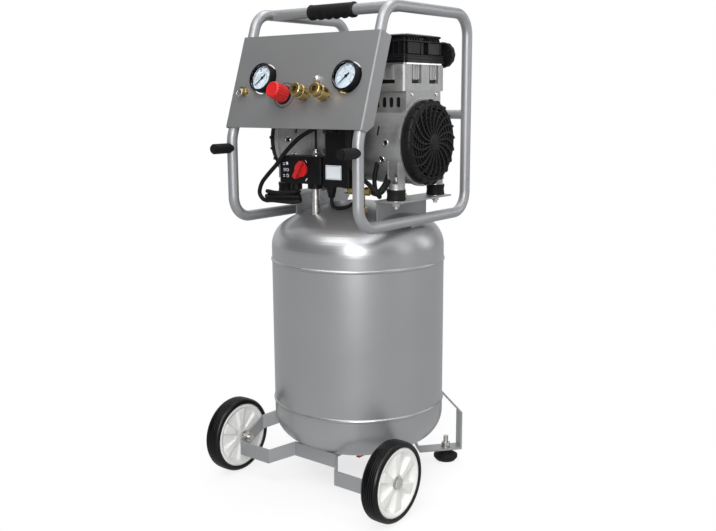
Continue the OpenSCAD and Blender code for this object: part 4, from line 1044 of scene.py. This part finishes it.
def stage_material():
    """Pale studio paper that fades into the backdrop's white away from the object."""
    n = Nodes("studio_floor")
    tone = n.mix(n.remap(n.noise(3.0, 2.0), 0.3, 0.7, 0.0, 1.0), rgba((0.86, 0.86, 0.87)),
                 rgba((0.89, 0.89, 0.895)))
    n.link(tone, n.bsdf.inputs["Base Color"])
    n.bsdf.inputs["Roughness"].default_value = 0.7
    glow = n.add("ShaderNodeEmission", color=(1.0, 1.0, 1.0, 1.0))
    seen_directly = n.tree.nodes.new("ShaderNodeLightPath").outputs["Is Camera Ray"]
    n.link(n.remap(seen_directly, 0.0, 1.0, 0.55, 1.0), glow.inputs["Strength"])
    distance = n.tree.nodes.new("ShaderNodeVectorMath")
    distance.operation = "LENGTH"
    n.link(n.where, distance.inputs[0])
    fade = n.remap(distance.outputs["Value"], 0.05, 0.55, 0.7, 1.0)
    blend = n.tree.nodes.new("ShaderNodeMixShader")
    n.link(fade, blend.inputs[0])
    n.link(n.bsdf.outputs[0], blend.inputs[1])
    n.link(glow.outputs[0], blend.inputs[2])
    n.link(blend.outputs[0], n.tree.nodes["Material Output"].inputs["Surface"])
    return n.material


floor_shape = Shape().lathe([(0, -0.4), (9000, -0.4)], 64)
floor_mesh = bpy.data.meshes.new("studio_floor")
floor_mesh.from_pydata([v * MM for v in floor_shape.verts], [], floor_shape.faces)
floor_mesh.materials.append(stage_material())
floor = bpy.data.objects.new("studio_floor", floor_mesh)
bpy.context.scene.collection.objects.link(floor)


def softbox(name, location, target, size, power, colour=(1.0, 1.0, 1.0)):
    light = bpy.data.lights.new(name, "AREA")
    light.shape = "RECTANGLE"
    light.size, light.size_y = size
    light.energy = power
    light.color = colour
    obj = bpy.data.objects.new(name, light)
    obj.location = location
    obj.rotation_mode = "QUATERNION"
    obj.rotation_quaternion = (Vector(target) - Vector(location)).to_track_quat("-Z", "Y")
    bpy.context.scene.collection.objects.link(obj)


softbox("key_light", (1.6, -2.3, 1.4), (0, 0, 0.4), (0.75, 2.0), 58)
softbox("front_top_light", (0.6, -1.3, 2.6), (0, 0, 0.5), (3.0, 1.2), 34)
softbox("side_light", (2.9, 0.6, 1.4), (0, 0, 0.5), (0.8, 2.2), 9)
softbox("rear_light", (2.1, 2.5, 1.5), (0, 0, 0.6), (0.9, 1.8), 14)
softbox("top_light", (0.1, 0.6, 2.8), (0, 0, 0.5), (1.8, 1.0), 20)


def studio_world():
    """A white backdrop for the camera. All else sees a dim room with a bright ceiling and rear wall."""
    world = bpy.data.worlds.new("studio")
    world.use_nodes = True
    tree = world.node_tree
    background = tree.nodes["Background"]
    background.inputs["Color"].default_value = (1.0, 1.0, 1.0, 1.0)
    direction = tree.nodes.new("ShaderNodeTexCoord").outputs["Generated"]

    def lobe(axis, low, high, amount):
        dot = tree.nodes.new("ShaderNodeVectorMath")
        dot.operation = "DOT_PRODUCT"
        dot.inputs[1].default_value = axis
        tree.links.new(direction, dot.inputs[0])
        ramp = tree.nodes.new("ShaderNodeMapRange")
        ramp.interpolation_type = "SMOOTHSTEP"
        for name, value in (("From Min", low), ("From Max", high), ("To Min", 0.0), ("To Max", amount)):
            ramp.inputs[name].default_value = value
        tree.links.new(dot.outputs["Value"], ramp.inputs["Value"])
        return ramp.outputs["Result"]

    def plus(a, b):
        node = tree.nodes.new("ShaderNodeMath")
        tree.links.new(a, node.inputs[0])
        if isinstance(b, float):
            node.inputs[1].default_value = b
        else:
            tree.links.new(b, node.inputs[1])
        return node.outputs[0]

    room = plus(plus(lobe((0, 0, 1), 0.45, 0.9, 0.65), lobe((-0.76, 0.65, 0), 0.45, 0.8, 0.75)), 0.09)
    seen = tree.nodes.new("ShaderNodeLightPath").outputs["Is Camera Ray"]
    blend = tree.nodes.new("ShaderNodeMix")
    tree.links.new(seen, blend.inputs["Factor"])
    tree.links.new(room, blend.inputs["A"])
    blend.inputs["B"].default_value = 1.0
    tree.links.new(blend.outputs["Result"], background.inputs["Strength"])
    return world


bpy.context.scene.world = studio_world()

bpy.context.scene.view_settings.view_transform = "Standard"

CAMERA_AZIMUTH = math.radians(37.764)
CAMERA_PITCH = math.radians(10.632)
CAMERA_ROLL = math.radians(-0.314)
ahead = Vector((-math.sin(CAMERA_AZIMUTH) * math.cos(CAMERA_PITCH),
                math.cos(CAMERA_AZIMUTH) * math.cos(CAMERA_PITCH), -math.sin(CAMERA_PITCH)))
across = Vector((math.cos(CAMERA_AZIMUTH), math.sin(CAMERA_AZIMUTH), 0))
above = across.cross(ahead)
right = math.cos(CAMERA_ROLL) * across + math.sin(CAMERA_ROLL) * above
upward = -math.sin(CAMERA_ROLL) * across + math.cos(CAMERA_ROLL) * above
camera_data = bpy.data.cameras.new("camera")
camera_data.lens = 45.08
camera_data.sensor_width = 36
camera = bpy.data.objects.new("camera", camera_data)
camera.matrix_world = (Matrix.Translation(Vector((1076.5, -1389.6 + TANK_Y, 754.6)) * MM)
                       @ Matrix((right, upward, -ahead)).transposed().to_4x4())
bpy.context.scene.collection.objects.link(camera)
bpy.context.scene.camera = camera
